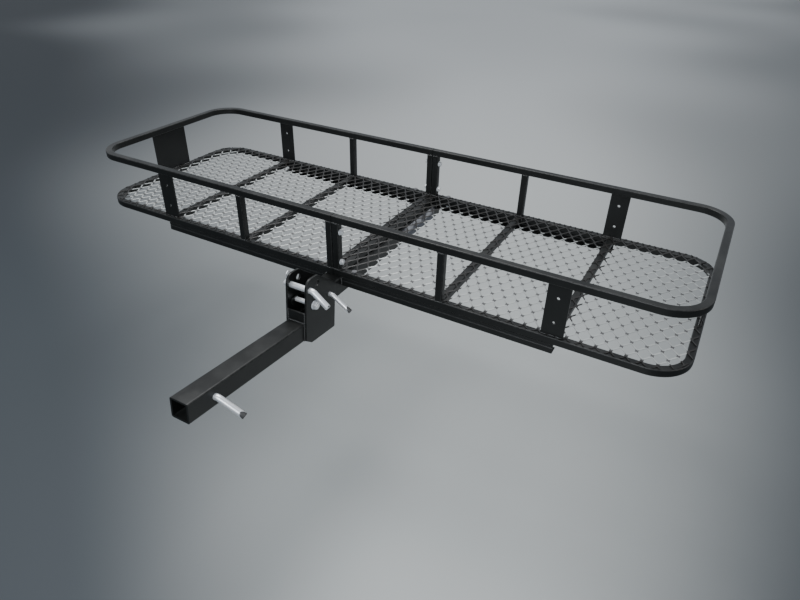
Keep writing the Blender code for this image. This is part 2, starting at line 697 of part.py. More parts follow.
def make_hitch_fasteners(mats, parent):
    make_bolt("pivot_bolt", (-EAR_OUTER_X, 0, 0), (1, 0, 0), 2 * EAR_OUTER_X, PIVOT_TAIL,
              PIVOT_BOLT_D, PIVOT_HEX, PIVOT_HEAD, mats["zinc"], parent)
    make_nut("pivot_nut", (EAR_OUTER_X, 0, 0), (1, 0, 0), PIVOT_NUT, PIVOT_BOLT_D, PIVOT_HEX,
             mats["zinc"], parent)


def make_basket_fasteners(mats, parent):
    post_outer = INNER_X + RAIL / 2
    for face, edge in ((-1, "front"), (1, "rear")):
        for height, level in zip(JOIN_HEIGHTS, ("lower", "upper")):
            y = face * RAIL_MID_Y
            make_bolt(f"join_bolt_{edge}_{level}", from_pivot((-post_outer, y, height)), (1, 0, 0),
                      2 * post_outer, JOIN_TAIL, JOIN_BOLT_D, JOIN_HEX, JOIN_HEAD, mats["zinc"],
                      parent)
            make_nut(f"join_nut_{edge}_{level}", from_pivot((post_outer, y, height)), (1, 0, 0),
                     JOIN_NUT, JOIN_BOLT_D, JOIN_HEX, mats["zinc"], parent)
        for side, word in ((-1, "left"), (1, "right")):
            spot = (side * CLAMP_X, face * RAIL_MID_Y)
            grip = -BEAM_TOP + SUPPORT_WALL
            make_bolt(f"clamp_bolt_{edge}_{word}", from_pivot((*spot, 0.0)), (0, 0, -1), grip,
                      JOIN_TAIL, JOIN_BOLT_D, JOIN_HEX, JOIN_HEAD, mats["zinc"], parent)
            make_nut(f"clamp_nut_{edge}_{word}", from_pivot((*spot, -grip)), (0, 0, -1), JOIN_NUT,
                     JOIN_BOLT_D, JOIN_HEX, mats["zinc"], parent)


def clamp_holes(bm):
    for side in (-1, 1):
        for face in (-1, 1):
            spot = (side * CLAMP_X, face * RAIL_MID_Y)
            path = straight(from_pivot((*spot, -1.5 * SUPPORT_HEIGHT - RAIL / 4)),
                            from_pivot((*spot, RAIL / 2)), (1, 0, 0))
            sweep(bm, path, circle(JOIN_BOLT_D / 2 + HOLE_ROOM))


def join_holes(bm):
    for face in (-1, 1):
        for height in JOIN_HEIGHTS:
            y = face * RAIL_MID_Y
            path = straight(from_pivot((-2 * RAIL, y, height)), from_pivot((2 * RAIL, y, height)),
                            (0, 1, 0))
            sweep(bm, path, circle(JOIN_BOLT_D / 2 + HOLE_ROOM))


def clear_scene():
    for obj in list(bpy.data.objects):
        bpy.data.objects.remove(obj, do_unlink=True)


def main():
    clear_scene()
    mats = {
        "black": material("black_powder_coat", (0.016, 0.018, 0.017), 0.0, 0.38),
        "mesh": material("mesh_powder_coat", (0.020, 0.022, 0.021), 0.0, 0.45),
        "zinc": material("bright_zinc", (0.66, 0.67, 0.69), 1.0, 0.28),
        "tag": material("plain_silver_tag", (0.62, 0.62, 0.65), 0.7, 0.35),
    }
    receiver_place = (RECEIVER_PIN_Y, -SHANK_AXIS_DROP)
    hole_y, hole_z = turned(receiver_place, -RISE)
    pivot_at = (0.0, -hole_y, -hole_z)
    hitch_side = empty("hitch_side", pivot_at, -RISE)
    fold_axis = empty("fold_axis", pivot_at)

    clamp_cutter = cutter("clamp_hole_cutter", clamp_holes, fold_axis)
    join_cutter = cutter("join_hole_cutter", join_holes, fold_axis)
    make_rails(mats, fold_axis, clamp_cutter)
    make_cross_bars(mats, fold_axis)
    make_posts(mats, fold_axis, join_cutter)
    make_plates(mats, fold_axis)
    make_floor_mesh(mats, fold_axis)
    make_supports(mats, fold_axis, clamp_cutter)
    make_beam(mats, fold_axis)
    make_tag(mats, fold_axis)
    make_basket_fasteners(mats, fold_axis)

    make_shank(mats, hitch_side)
    make_ears(mats, hitch_side)
    make_hitch_fasteners(mats, hitch_side)
    upper = make_pin("upper_pull_pin", UPPER_PIN, EAR_OUTER_X, BIG_PIN_D, UPPER_HANDLE, mats,
                     hitch_side)
    make_clip(mats, upper)
    rest_place = tilted((REST_PIN_BACK, -REST_PIN_DROP))
    make_pin("rest_pull_pin", rest_place, EAR_OUTER_X, SMALL_PIN_D, REST_HANDLE, mats, hitch_side,
             REST_LEAN_DEG)
    make_pin("receiver_pin", receiver_place, TUBE / 2, BIG_PIN_D, RECEIVER_HANDLE, mats, hitch_side,
             RECEIVER_LEAN_DEG)


main()
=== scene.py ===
"""Looks of the folding hitch cargo carrier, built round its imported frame.

Each operator makes one group of pieces in the frame's own metres: the coated tubes and plates,
the expanded floor sheets, the welds, the bright pins and fasteners, the blank tag and the stage.
"""

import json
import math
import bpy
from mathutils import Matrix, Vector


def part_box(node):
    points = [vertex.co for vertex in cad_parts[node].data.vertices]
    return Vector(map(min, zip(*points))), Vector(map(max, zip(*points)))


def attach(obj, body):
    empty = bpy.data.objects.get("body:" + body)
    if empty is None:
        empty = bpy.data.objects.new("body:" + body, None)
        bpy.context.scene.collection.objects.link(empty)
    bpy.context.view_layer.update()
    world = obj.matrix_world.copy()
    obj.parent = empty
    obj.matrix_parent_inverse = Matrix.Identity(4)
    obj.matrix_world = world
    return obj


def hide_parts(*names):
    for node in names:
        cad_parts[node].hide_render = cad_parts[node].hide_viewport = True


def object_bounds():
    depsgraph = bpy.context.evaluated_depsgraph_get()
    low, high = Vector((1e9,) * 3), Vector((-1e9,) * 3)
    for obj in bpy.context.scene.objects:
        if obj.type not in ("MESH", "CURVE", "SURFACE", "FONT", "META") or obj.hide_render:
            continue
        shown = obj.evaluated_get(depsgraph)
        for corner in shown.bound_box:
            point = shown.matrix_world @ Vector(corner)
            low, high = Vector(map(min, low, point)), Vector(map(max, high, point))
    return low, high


bl_info = {
    "name": "Hitch cargo carrier",
    "version": (1, 0, 0),
    "blender": (4, 5, 0),
    "location": "View3D > Sidebar > Carrier",
    "description": "Builds the surfaces of a folding hitch cargo carrier round its frame",
    "category": "Object",
}

import bmesh
import bpy
from bpy.props import FloatProperty, FloatVectorProperty, IntProperty, PointerProperty
from bpy.types import Operator, Panel, PropertyGroup
from mathutils import Matrix, Vector

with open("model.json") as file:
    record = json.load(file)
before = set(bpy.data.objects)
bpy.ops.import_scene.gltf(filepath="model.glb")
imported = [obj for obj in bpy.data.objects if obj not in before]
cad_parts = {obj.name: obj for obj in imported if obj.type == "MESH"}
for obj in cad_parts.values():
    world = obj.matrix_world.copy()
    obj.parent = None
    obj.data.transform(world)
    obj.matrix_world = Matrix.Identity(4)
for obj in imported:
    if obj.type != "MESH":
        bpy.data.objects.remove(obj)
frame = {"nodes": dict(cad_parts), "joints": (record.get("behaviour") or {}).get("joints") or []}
CAD_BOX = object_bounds()

# ---- what the frame says
BLACK = "black_powder_coat"
SHEET = "mesh_powder_coat"
ZINC = "bright_zinc"
SIDES = {"left": -1, "right": 1}
ENDS = ("front", "rear")
LEVELS = ("lower", "upper")
BARS = ("inner", "middle", "outer")

JOINTS = {joint["name"]: joint for joint in frame["joints"]}
PIVOT = Vector(JOINTS["fold_pivot"]["pos_m"])
CLIP_AXIS = Vector(JOINTS["clip_pull"]["axis"])
RISE = math.atan2(CLIP_AXIS.y, CLIP_AXIS.z)
HITCH = Matrix.Translation(PIVOT) @ Matrix.Rotation(-RISE, 4, "X")
RAIL_LOW, RAIL_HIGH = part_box("bottom_rail_right")
TOP_LOW, TOP_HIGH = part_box("top_rail_right")
RAIL_SIDE = RAIL_HIGH.z - RAIL_LOW.z
HALF_LENGTH = RAIL_HIGH.x
HALF_DEPTH = (RAIL_HIGH.y - RAIL_LOW.y) / 2
MID_Y = (RAIL_HIGH.y + RAIL_LOW.y) / 2
SHEET_LOW, SHEET_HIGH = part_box("floor_mesh_right")
MERGE = 1e-6             # points closer than this are one
EDGE_BLEND = 0.0008      # softness of a painted border
SEAT_GAP = 0.0003        # air between a head or nut and what it seats on
BOLT_RADIUS, BOLT_ACROSS = 0.004, 0.013
PIVOT_RADIUS, PIVOT_ACROSS = 0.00635, 0.019
EAR_CHAMFER = 0.020
ROUND = 24               # sides of a lathed part
RIPPLE_LOW, RIPPLE_HIGH = 0.80, 1.12    # sizes of weld ripples, as shares of the bead

CAMERA_AZIMUTH_DEG, CAMERA_HEIGHT_DEG, CAMERA_ROLL_DEG = 28.70, 33.11, 1.37
CAMERA_OFFSET = Vector((0.8375, -1.4499, 0.8303))    # from the middle of the floor rails


def hitch_box(node):
    """Corners of a hitch-side node, measured from the pivot with the shank level."""
    level = HITCH.inverted()
    points = [level @ vertex.co for vertex in frame["nodes"][node].data.vertices]
    low = Vector([min(point[axis] for point in points) for axis in range(3)])
    high = Vector([max(point[axis] for point in points) for axis in range(3)])
    return low, high


# ---- settings
def length_setting(name, description, default):
    return FloatProperty(name=name, description=description, default=default, unit="LENGTH")


def colour_setting(name, description, default):
    return FloatVectorProperty(name=name, description=description, default=default,
                               subtype="COLOR", size=3, min=0, max=1)


class CoatSettings(PropertyGroup):
    colour: colour_setting("Coat", "Black powder coat", (0.0100, 0.0108, 0.0104))
    # Edge colour: partly coat rubbed thin, partly painted highlight along the edges.
    worn_and_highlit: colour_setting("Worn edge", "Coat rubbed thin along edges", (0.045, 0.046, 0.045))
    gloss_rough: FloatProperty(name="Roughness", description="Roughness of clean coat",
                               default=0.33, min=0.05, max=1)
    shine: FloatProperty(name="Shine", description="Strength of the coat's reflections",
                         default=0.36, min=0, max=1)
    edge: length_setting("Plate edge", "Rounding of plate edges", 0.0009)
    rail_corner: length_setting("Basket corner", "Outer radius of a rail's bend", 0.092)
    rail_edge: length_setting("Tube edge", "Outer radius of the rail tube's edges", 0.0025)
    rail_wall: length_setting("Tube wall", "Wall of the rail tube", 0.0015)


class SheetSettings(PropertyGroup):
    pitch_x: length_setting("Short way", "Diamond pitch along the basket", 0.033)
    pitch_y: length_setting("Long way", "Diamond pitch across the basket", 0.0545)
    strand: length_setting("Strand", "Width of a strand", 0.0036)
    bond: length_setting("Bond", "Length of the knuckle between two slits", 0.0060)
    thick: length_setting("Thickness", "Thickness of the sheet metal", 0.0011)
    tilt: length_setting("Tilt", "Rise of a strand from one edge to the other", 0.0013)
    colour: colour_setting("Sheet", "Satin sheet metal over the openings", (0.50, 0.52, 0.51))
    # Painted shade: the sheet is painted black in a strip of this width beside and behind each tube.
    shade: length_setting("Shaded strip", "Black coat on the sheet behind each tube", 0.026)
    # Knuckle colour: the knuckles are painted darker than the strands.
    knuckle: colour_setting("Knuckle", "Darker knuckle metal", (0.12, 0.12, 0.12))


class WeldSettings(PropertyGroup):
    radius: length_setting("Bead", "Radius of a weld ripple", 0.0021)
    pitch: length_setting("Ripple", "Distance between ripples", 0.0020)
    seed: IntProperty(name="Seed", description="Seed of the ripple sizes", default=7)


class BrightSettings(PropertyGroup):
    zinc: colour_setting("Zinc", "Bright zinc plate", (0.97, 0.975, 0.98))
    # Dark tip: colour of the last part of a pin handle, darker than the zinc.
    dark_tip: colour_setting("Cut end", "Dull sheared ends of the pins", (0.10, 0.10, 0.10))
    foil: colour_setting("Foil", "Blank silver tag", (0.60, 0.60, 0.64))
    # Length of that dark last part of the handle.
    tip: length_setting("Dull tip", "Dull end of a pin's handle", 0.006)
    washer: length_setting("Washer", "Thickness of a washer", 0.0014)
    thread: length_setting("Thread", "Pitch of a bolt's thread", 0.00125)


class StageSettings(PropertyGroup):
    floor_drop: length_setting("Floor drop", "Floor below the lowest piece", 0.42)
    floor: colour_setting("Floor", "Pale floor", (0.43, 0.45, 0.445))
    # Colour of the painted shade on the floor to both sides of the line of sight.
    far: colour_setting("Floor edge", "Floor away from the light", (0.045, 0.055, 0.064))
    sky: FloatProperty(name="Fill", description="Strength of the even fill light", default=0.50)
    lens: FloatProperty(name="Lens", description="Focal length in millimetres", default=28.0)


# ---- shader helpers
class Nodes:
    """Short calls for building one node tree."""

    def __init__(self, tree):
        self.tree = tree

    def add(self, kind, inputs=None, **settings):
        node = self.tree.nodes.new(kind)
        for name, value in settings.items():
            setattr(node, name, value)
        for name, value in (inputs or {}).items():
            self.feed(node.inputs[name], value)
        return node

    def feed(self, socket, value):
        if isinstance(value, bpy.types.NodeSocket):
            self.tree.links.new(value, socket)
        else:
            socket.default_value = value

    def math(self, operation, first, second=0.0, clamp=False):
        node = self.add("ShaderNodeMath", operation=operation, use_clamp=clamp)
        self.feed(node.inputs[0], first)
        self.feed(node.inputs[1], second)
        return node.outputs[0]

    def fade(self, value, low, high):
        """0 at low, 1 at high, smooth between."""
        node = self.add("ShaderNodeMapRange", {"Value": value, "From Min": low, "From Max": high},
                        interpolation_type="SMOOTHSTEP")
        return node.outputs["Result"]

    def between(self, factor, low, high):
        node = self.add("ShaderNodeMapRange", {"Value": factor, "To Min": low, "To Max": high})
        return node.outputs["Result"]

    def noise(self, place, scale, detail=2.0, rough=0.5, stretch=None):
        if stretch:
            mapping = self.add("ShaderNodeMapping", {"Vector": place, "Scale": stretch})
            place = mapping.outputs["Vector"]
        node = self.add("ShaderNodeTexNoise", {"Vector": place, "Scale": scale, "Detail": detail,
                                               "Roughness": rough})
        return node.outputs["Fac"]

    def mix(self, factor, first, second):
        node = self.add("ShaderNodeMix", data_type="RGBA")
        self.feed(node.inputs["Factor"], factor)
        self.feed(node.inputs[6], first)
        self.feed(node.inputs[7], second)
        return node.outputs[2]

    def place(self):
        return self.add("ShaderNodeTexCoord").outputs["Object"]

    def split(self, vector):
        return self.add("ShaderNodeSeparateXYZ", {"Vector": vector}).outputs

    def times(self, first, second):
        return self.math("MULTIPLY", first, second)

    def plus(self, first, second):
        return self.math("ADD", first, second)

    def less(self, first, second):
        return self.math("SUBTRACT", first, second)

    def edge(self, value, at):
        """0 below at, 1 above it, with a narrow soft border."""
        return self.fade(value, at - EDGE_BLEND, at + EDGE_BLEND)


def opaque(colour, share=1.0):
    return (*[channel * share for channel in colour], 1.0)


def grey(tone):
    return (tone, tone, tone, 1.0)


def new_group(name, inputs, outputs):
    tree = bpy.data.node_groups.new(name, "ShaderNodeTree")
    for label, default in inputs:
        made = tree.interface.new_socket(label, in_out="INPUT", socket_type="NodeSocketFloat")
        made.default_value = default
    for label in outputs:
        tree.interface.new_socket(label, in_out="OUTPUT", socket_type="NodeSocketFloat")
    nodes = Nodes(tree)
    return nodes, nodes.add("NodeGroupInput").outputs, nodes.add("NodeGroupOutput").inputs


def surface_wear_group():
    """Masks that every metal of the carrier shares: grain, cloudiness, dust, and rubbed edges that
    also carry a painted highlight.
    """
    nodes, given, result = new_group(
        "surface_wear",
        [("Grain Scale", 700.0), ("Dust", 0.2), ("Wear And Highlight", 0.5)],
        ["Grain", "Cloud", "Dust", "Wear And Highlight"])
    place = nodes.place()
    grain = nodes.noise(place, given["Grain Scale"], 2.0, 0.55)
    cloud = nodes.noise(place, 9.0, 5.0, 0.6)
    fine = nodes.noise(place, 140.0, 4.0, 0.65)
    normal = nodes.add("ShaderNodeNewGeometry").outputs["Normal"]
    upward = nodes.split(normal)["Z"]
    settled = nodes.times(nodes.fade(upward, 0.55, 1.0), nodes.fade(cloud, 0.40, 0.75))
    dust = nodes.times(settled, given["Dust"])
    # Edge mask: real rubbed coat and painted highlight along the rounded edges, in one.
    edge = nodes.add("ShaderNodeAttribute", attribute_name="edge_wear_and_highlight").outputs["Fac"]
    rubbed_and_highlit = nodes.times(edge, nodes.fade(fine, 0.40, 0.62))
    wear = nodes.math("MULTIPLY", rubbed_and_highlit, given["Wear And Highlight"], clamp=True)
    for label, value in (("Grain", grain), ("Cloud", cloud), ("Dust", dust), ("Wear And Highlight", wear)):
        nodes.feed(result[label], value)


def new_material(name, metallic, coat=0.0):
    material = bpy.data.materials.new(name)
    material.use_nodes = True
    shader = material.node_tree.nodes["Principled BSDF"].inputs
    shader["Metallic"].default_value = metallic
    shader["Coat Weight"].default_value = coat
    return Nodes(material.node_tree), shader


def wear_node(nodes, grain_scale, dust, wear):
    shared = nodes.add("ShaderNodeGroup", node_tree=bpy.data.node_groups["surface_wear"])
    shared.inputs["Grain Scale"].default_value = grain_scale
    shared.inputs["Dust"].default_value = dust
    shared.inputs["Wear And Highlight"].default_value = wear
    return shared.outputs


def dress(nodes, shader, colour, rough, height, strength, distance):
    """Feeds a finish's colour, roughness and bump to its shader."""
    nodes.feed(shader["Base Color"], colour)
    nodes.feed(shader["Roughness"], rough)
    node = nodes.add("ShaderNodeBump", {"Height": height, "Strength": strength,
                                        "Distance": distance})
    nodes.feed(shader["Normal"], node.outputs["Normal"])


def coat_material(settings):
    """Semi-gloss black powder coat: orange peel, faint clouding, dust on top, and lighter edges that
    are partly rubbed coat and partly painted highlight.
    """
    nodes, shader = new_material("semi_gloss_black_coat", 0.0)
    shader["Specular IOR Level"].default_value = settings.shine
    wear = wear_node(nodes, 620.0, 0.10, 0.45)
    place = nodes.place()
    smudge = nodes.noise(place, 26.0, 4.0, 0.6)
    deep = opaque(settings.colour, 0.75)
    body = nodes.mix(nodes.fade(wear["Cloud"], 0.3, 0.7), deep, opaque(settings.colour))
    dusty = nodes.mix(wear["Dust"], body, (0.20, 0.20, 0.19, 1.0))
    rough = nodes.between(smudge, settings.gloss_rough - 0.08, settings.gloss_rough + 0.12)
    # The lighter edge colour is partly worn coat and partly painted highlight.
    dress(nodes, shader, nodes.mix(wear["Wear And Highlight"], dusty, opaque(settings.worn_and_highlit)),
          nodes.plus(rough, wear["Dust"]), wear["Grain"], 0.22, 0.0006)


def weld_material(settings):
    """Coat over a weld bead: thicker and glossier, with a pitted surface."""
    nodes, shader = new_material("coated_weld", 0.0, coat=0.5)
    wear = wear_node(nodes, 1500.0, 0.10, 0.3)
    body = nodes.mix(wear["Cloud"], opaque(settings.colour), (0.035, 0.036, 0.036, 1.0))
    dress(nodes, shader, body, nodes.between(wear["Grain"], 0.20, 0.42), wear["Grain"], 0.35,
          0.0004)


def band(nodes, value, low, high):
    """1 between low and high."""
    return nodes.less(nodes.edge(value, low), nodes.edge(value, high))


def frame_and_painted_shade_mask(nodes, place, shade):
    """1 where the sheet lies on the frame and in the painted-shade strip beside it, 0 over an
    opening.
    """
    parts = nodes.split(place)
    across = nodes.math("ABSOLUTE", parts["X"])
    behind = nodes.less(parts["Y"], MID_Y)
    along = nodes.math("ABSOLUTE", behind)
    beside_tube = 0.6 * shade
    behind_rail = 1.3 * shade
    beside_beam = 2.0 * shade
    end = HALF_LENGTH - RAIL_SIDE
    side = HALF_DEPTH - RAIL_SIDE
    support_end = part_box("support_rail_rear_right")[1].x
    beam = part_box("main_beam")[1].x
    # Painted shade: a deep black strip along the rear rail, where the support rail lies under the
    # sheet.
    over_support = nodes.fade(behind, side - 2.9 * shade, side - 2.8 * shade)
    # Past the frame itself, each strip below is painted shade: rear, left end, support, beam and
    # cross bars.
    masks = [nodes.edge(along, side),
             nodes.edge(across, end),
             nodes.edge(behind, side - behind_rail),
             nodes.edge(nodes.times(parts["X"], -1.0), end - beside_tube),
             nodes.times(over_support, band(nodes, across, 0.0, support_end)),
             band(nodes, parts["X"], -beam, beam + beside_beam)]
    for bar in BARS:
        for word in SIDES:
            low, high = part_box(f"cross_bar_{bar}_{word}")
            masks.append(band(nodes, parts["X"], low.x, high.x + beside_tube))
    corner = bpy.context.scene.carrier_coat.rail_corner
    past_x = nodes.math("MAXIMUM", nodes.less(across, HALF_LENGTH - corner), 0.0)
    past_y = nodes.math("MAXIMUM", nodes.less(along, HALF_DEPTH - corner), 0.0)
    reach = nodes.math("SQRT", nodes.plus(nodes.times(past_x, past_x),
                                          nodes.times(past_y, past_y)))
    inner = corner - RAIL_SIDE
    masks.append(nodes.edge(reach, inner))
    # Painted shade in the bends too, on the left and rear side only.
    far_side = nodes.math("MAXIMUM", nodes.math("GREATER_THAN", behind, 0.0),
                          nodes.math("LESS_THAN", parts["X"], 0.0))
    in_bend = nodes.times(nodes.fade(past_x, 0.0, EDGE_BLEND), nodes.fade(past_y, 0.0, EDGE_BLEND))
    wide = nodes.edge(reach, inner - beside_tube)
    masks.append(nodes.times(nodes.times(wide, in_bend), far_side))
    total = masks[0]
    for mask in masks[1:]:
        total = nodes.math("MAXIMUM", total, mask)
    return total


def sheet_material(settings, coat):
    """Satin expanded sheet, with dark knuckles; black coat covers it on the frame, and painted shade
    blackens it in strips beside and behind the tubes.
    """
    nodes, shader = new_material("expanded_sheet", 0.0)
    wear = wear_node(nodes, 900.0, 0.05, 0.0)
    place = nodes.place()
    on_frame_and_painted_shade = frame_and_painted_shade_mask(nodes, place, settings.shade)
    knuckle = nodes.add("ShaderNodeAttribute", attribute_name="knuckle").outputs["Fac"]
    tone = nodes.mix(nodes.fade(wear["Cloud"], 0.3, 0.7),
                     opaque(settings.colour, 0.82),
                     opaque(settings.colour))
    spotted = nodes.mix(nodes.fade(knuckle, 0.80, 1.0), tone, opaque(settings.knuckle))
    # Black is the coat on the frame and painted shade in the strips beside the tubes.
    black = nodes.mix(wear["Cloud"], opaque(coat.colour), (0.028, 0.025, 0.023, 1.0))
    nodes.feed(shader["Metallic"], nodes.times(nodes.less(1.0, on_frame_and_painted_shade), 0.35))
    dress(nodes, shader, nodes.mix(on_frame_and_painted_shade, spotted, black),
          nodes.between(wear["Grain"], 0.28, 0.5), wear["Grain"], 0.25, 0.0004)


def zinc_material(settings):
    """Bright zinc plate: drawn lines, mottled passivation, and a dark colour on the last part of
    some pin handles.
    """
    nodes, shader = new_material("bright_zinc_plate", 0.62)
    wear = wear_node(nodes, 1100.0, 0.0, 0.0)
    place = nodes.place()
    drawn = nodes.noise(place, 420.0, 3.0, 0.6, (0.06, 1.0, 1.0))
    mottle = nodes.noise(place, 75.0, 4.0, 0.6)
    cold = nodes.mix(nodes.fade(mottle, 0.35, 0.7), opaque(settings.zinc),
                     (0.80, 0.85, 0.90, 1.0))
    streaked = nodes.mix(nodes.between(drawn, 0.0, 0.22), cold, grey(0.50))
    dark_tip_mask = nodes.add("ShaderNodeAttribute", attribute_name="dark_tip").outputs["Fac"]
    dress(nodes, shader, nodes.mix(dark_tip_mask, streaked, opaque(settings.dark_tip)),
          nodes.between(mottle, 0.22, 0.48), nodes.plus(wear["Grain"], drawn), 0.12, 0.0003)


def dull_zinc_material(settings):
    """Zinc gone dull and grey, on the bolts through the floor rail."""
    nodes, shader = new_material("dull_zinc_plate", 0.8)
    wear = wear_node(nodes, 900.0, 0.3, 0.0)
    dull = opaque(settings.zinc, 0.28)
    mottled = nodes.mix(nodes.fade(wear["Cloud"], 0.3, 0.7), dull, (0.14, 0.14, 0.15, 1.0))
    dress(nodes, shader, mottled, nodes.between(wear["Grain"], 0.35, 0.6), wear["Grain"], 0.3,
          0.0004)


def foil_material(settings):
    """Plain silver foil, faintly creased and scuffed, with painted shade on its lower half."""
    nodes, shader = new_material("plain_silver_foil", 0.45)
    wear = wear_node(nodes, 800.0, 0.25, 0.0)
    place = nodes.place()
    crease = nodes.noise(place, 30.0, 4.0, 0.6)
    scuffed = nodes.mix(nodes.fade(crease, 0.42, 0.60), opaque(settings.foil),
                        (0.10, 0.10, 0.12, 1.0))
    # Painted shade: the lower half of the tag turns dark blue-grey.
    low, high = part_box("beam_side_tag")
    middle = (low.z + high.z) / 2
    upright = nodes.split(place)["Z"]
    shaded = nodes.mix(nodes.fade(upright, middle - 0.006, middle + 0.006), (0.09, 0.10, 0.13, 1.0),
                       scuffed)
    dress(nodes, shader, nodes.mix(wear["Dust"], shaded, grey(0.40)),
          nodes.between(crease, 0.22, 0.5), crease, 0.6, 0.0015)


def finish(name):
    return bpy.data.materials[name]


# ---- piece helpers
def linked(name, data):
    obj = bpy.data.objects.new(name, data)
    bpy.context.scene.collection.objects.link(obj)
    return obj


def new_piece(name, bm, material, smooth_deg=50.0):
    mesh = bpy.data.meshes.new(name)
    bm.to_mesh(mesh)
    bm.free()
    mesh.materials.append(material)
    mesh.shade_smooth()
    mesh.set_sharp_from_angle(angle=math.radians(smooth_deg))
    return linked(name, mesh)


def even_shading(obj):
    """Keeps wide flats flat where they meet narrow rounded edges."""
    modifier = obj.modifiers.new("even_shading", "WEIGHTED_NORMAL")
    modifier.keep_sharp = True
    modifier.weight = 100


def settle(obj, body, slot, *nodes):
    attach(obj, body)
    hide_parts(*nodes)


def merged_copy(node):
    """A node's surface with its triangles joined and its flats made whole."""
    bm = bmesh.new()
    bm.from_mesh(frame["nodes"][node].data)
    bmesh.ops.remove_doubles(bm, verts=bm.verts, dist=MERGE)
    bmesh.ops.dissolve_limit(bm, angle_limit=math.radians(0.5), verts=bm.verts, edges=bm.edges)
    bmesh.ops.recalc_face_normals(bm, faces=bm.faces)
    return bm


def mark_worn_and_highlit(bm, faces):
    bm.faces.index_update()
    chosen = [face.index for face in faces]
    layer = bm.faces.layers.float.get("edge_wear_and_highlight") or bm.faces.layers.float.new("edge_wear_and_highlight")
    bm.faces.ensure_lookup_table()
    for index in chosen:
        bm.faces[index][layer] = 1.0


def rounded_faces(bm, turn):
    """Faces that lie between the tube's flat sides."""
    axes = [turn @ Vector(axis) for axis in ((1, 0, 0), (0, 1, 0), (0, 0, 1))]
    bm.normal_update()
    return [face for face in bm.faces
            if max(abs(face.normal.dot(axis)) for axis in axes) < 0.975]


def soften(bm, width, sharp_deg=30.0):
    """Rounds every sharp edge and returns the new faces."""
    sharp = [edge for edge in bm.edges
             if len(edge.link_faces) == 2 and edge.calc_face_angle(0.0) > math.radians(sharp_deg)]
    made = bmesh.ops.bevel(bm, geom=sharp, offset=width, segments=2, profile=0.5,
                           affect="EDGES", clamp_overlap=True)
    return made["faces"]


def coated_copy(node, body, edge=None, turn=Matrix.Identity(3)):
    """A coated copy: a plate's edges are rounded by edge, a tube keeps its own round ones."""
    bm = merged_copy(node)
    # The rounded edges get the edge colour that is partly wear and partly painted highlight.
    worn_and_highlit = soften(bm, edge) if edge else rounded_faces(bm, turn)
    mark_worn_and_highlit(bm, worn_and_highlit)
    obj = new_piece(f"{node}_coated", bm, finish("semi_gloss_black_coat"))
    even_shading(obj)
    settle(obj, body, BLACK, node)


# ---- rails
def tube_ring(side, radius, steps):
    """Rounded square, counter-clockwise, with a flag on the points that start an edge facet."""
    ring = []
    inset = side / 2 - radius
    for corner in range(4):
        start = corner * math.pi / 2
        cx = inset * (1 if corner in (0, 3) else -1)
        cy = inset * (1 if corner in (0, 1) else -1)
        for step in range(steps + 1):
            angle = start + step / steps * math.pi / 2
            ring.append((cx + radius * math.cos(angle), cy + radius * math.sin(angle),
                         step < steps))
    return ring


def rail_stations(side, z, corner, steps):
    """Centre line of a rail with its outward direction, from the front seam to the rear one."""
    seam = RAIL_LOW.x
    radius = corner - RAIL_SIDE / 2
    mid = HALF_DEPTH - RAIL_SIDE / 2
    stations = [(Vector((side * seam, MID_Y - mid, z)), Vector((0, -1, 0)))]
    for face, start in ((-1, -90), (1, 0)):
        centre = Vector((side * (HALF_LENGTH - corner), MID_Y + face * (HALF_DEPTH - corner), z))
        for step in range(steps + 1):
            angle = math.radians(start + 90 * step / steps)
            out = Vector((side * math.cos(angle), math.sin(angle), 0))
            stations.append((centre + out * radius, out))
    stations.append((Vector((side * seam, MID_Y + mid, z)), Vector((0, 1, 0))))
    return stations


def skin_rail(stations, settings, edge_steps=4):
    bm = bmesh.new()
    worn_and_highlit = []
    shells = []
    bore = RAIL_SIDE - 2 * settings.rail_wall
    for side, radius in ((RAIL_SIDE, settings.rail_edge),
                         (bore, settings.rail_edge - settings.rail_wall)):
        ring = tube_ring(side, radius, edge_steps)
        rows = [[bm.verts.new(point + out * u + Vector((0, 0, v))) for u, v, _ in ring]
                for point, out in stations]
        shells.append(rows)
        for first, second in zip(rows, rows[1:]):
            for i, (_, _, on_edge) in enumerate(ring):
                j = (i + 1) % len(ring)
                face = bm.faces.new((first[i], first[j], second[j], second[i]))
                # Edge facets of the outer shell get the edge colour that is partly wear and partly
                # painted highlight.
                if on_edge and side == RAIL_SIDE:
                    worn_and_highlit.append(face)
    outer, inner = shells
    for row in (0, -1):
        for i in range(len(outer[row])):
            j = (i + 1) % len(outer[row])
            bm.faces.new((outer[row][i], outer[row][j], inner[row][j], inner[row][i]))
    bmesh.ops.recalc_face_normals(bm, faces=bm.faces)
    mark_worn_and_highlit(bm, worn_and_highlit)
    return bm


class CARRIER_OT_rails(Operator):
    """Make the four bent guard and floor rails"""
    bl_idname = "carrier.rails"
    bl_label = "Rails"

    def execute(self, context):
        settings = context.scene.carrier_coat
        for level, middle in (("top", (TOP_LOW.z + TOP_HIGH.z) / 2),
                              ("bottom", (RAIL_LOW.z + RAIL_HIGH.z) / 2)):
            for word, side in SIDES.items():
                stations = rail_stations(side, middle, settings.rail_corner, 28)
                obj = new_piece(f"{level}_rail_{word}_coated", skin_rail(stations, settings),
                                finish("semi_gloss_black_coat"))
                even_shading(obj)
                settle(obj, "carrier", BLACK, f"{level}_rail_{word}")
        return {"FINISHED"}


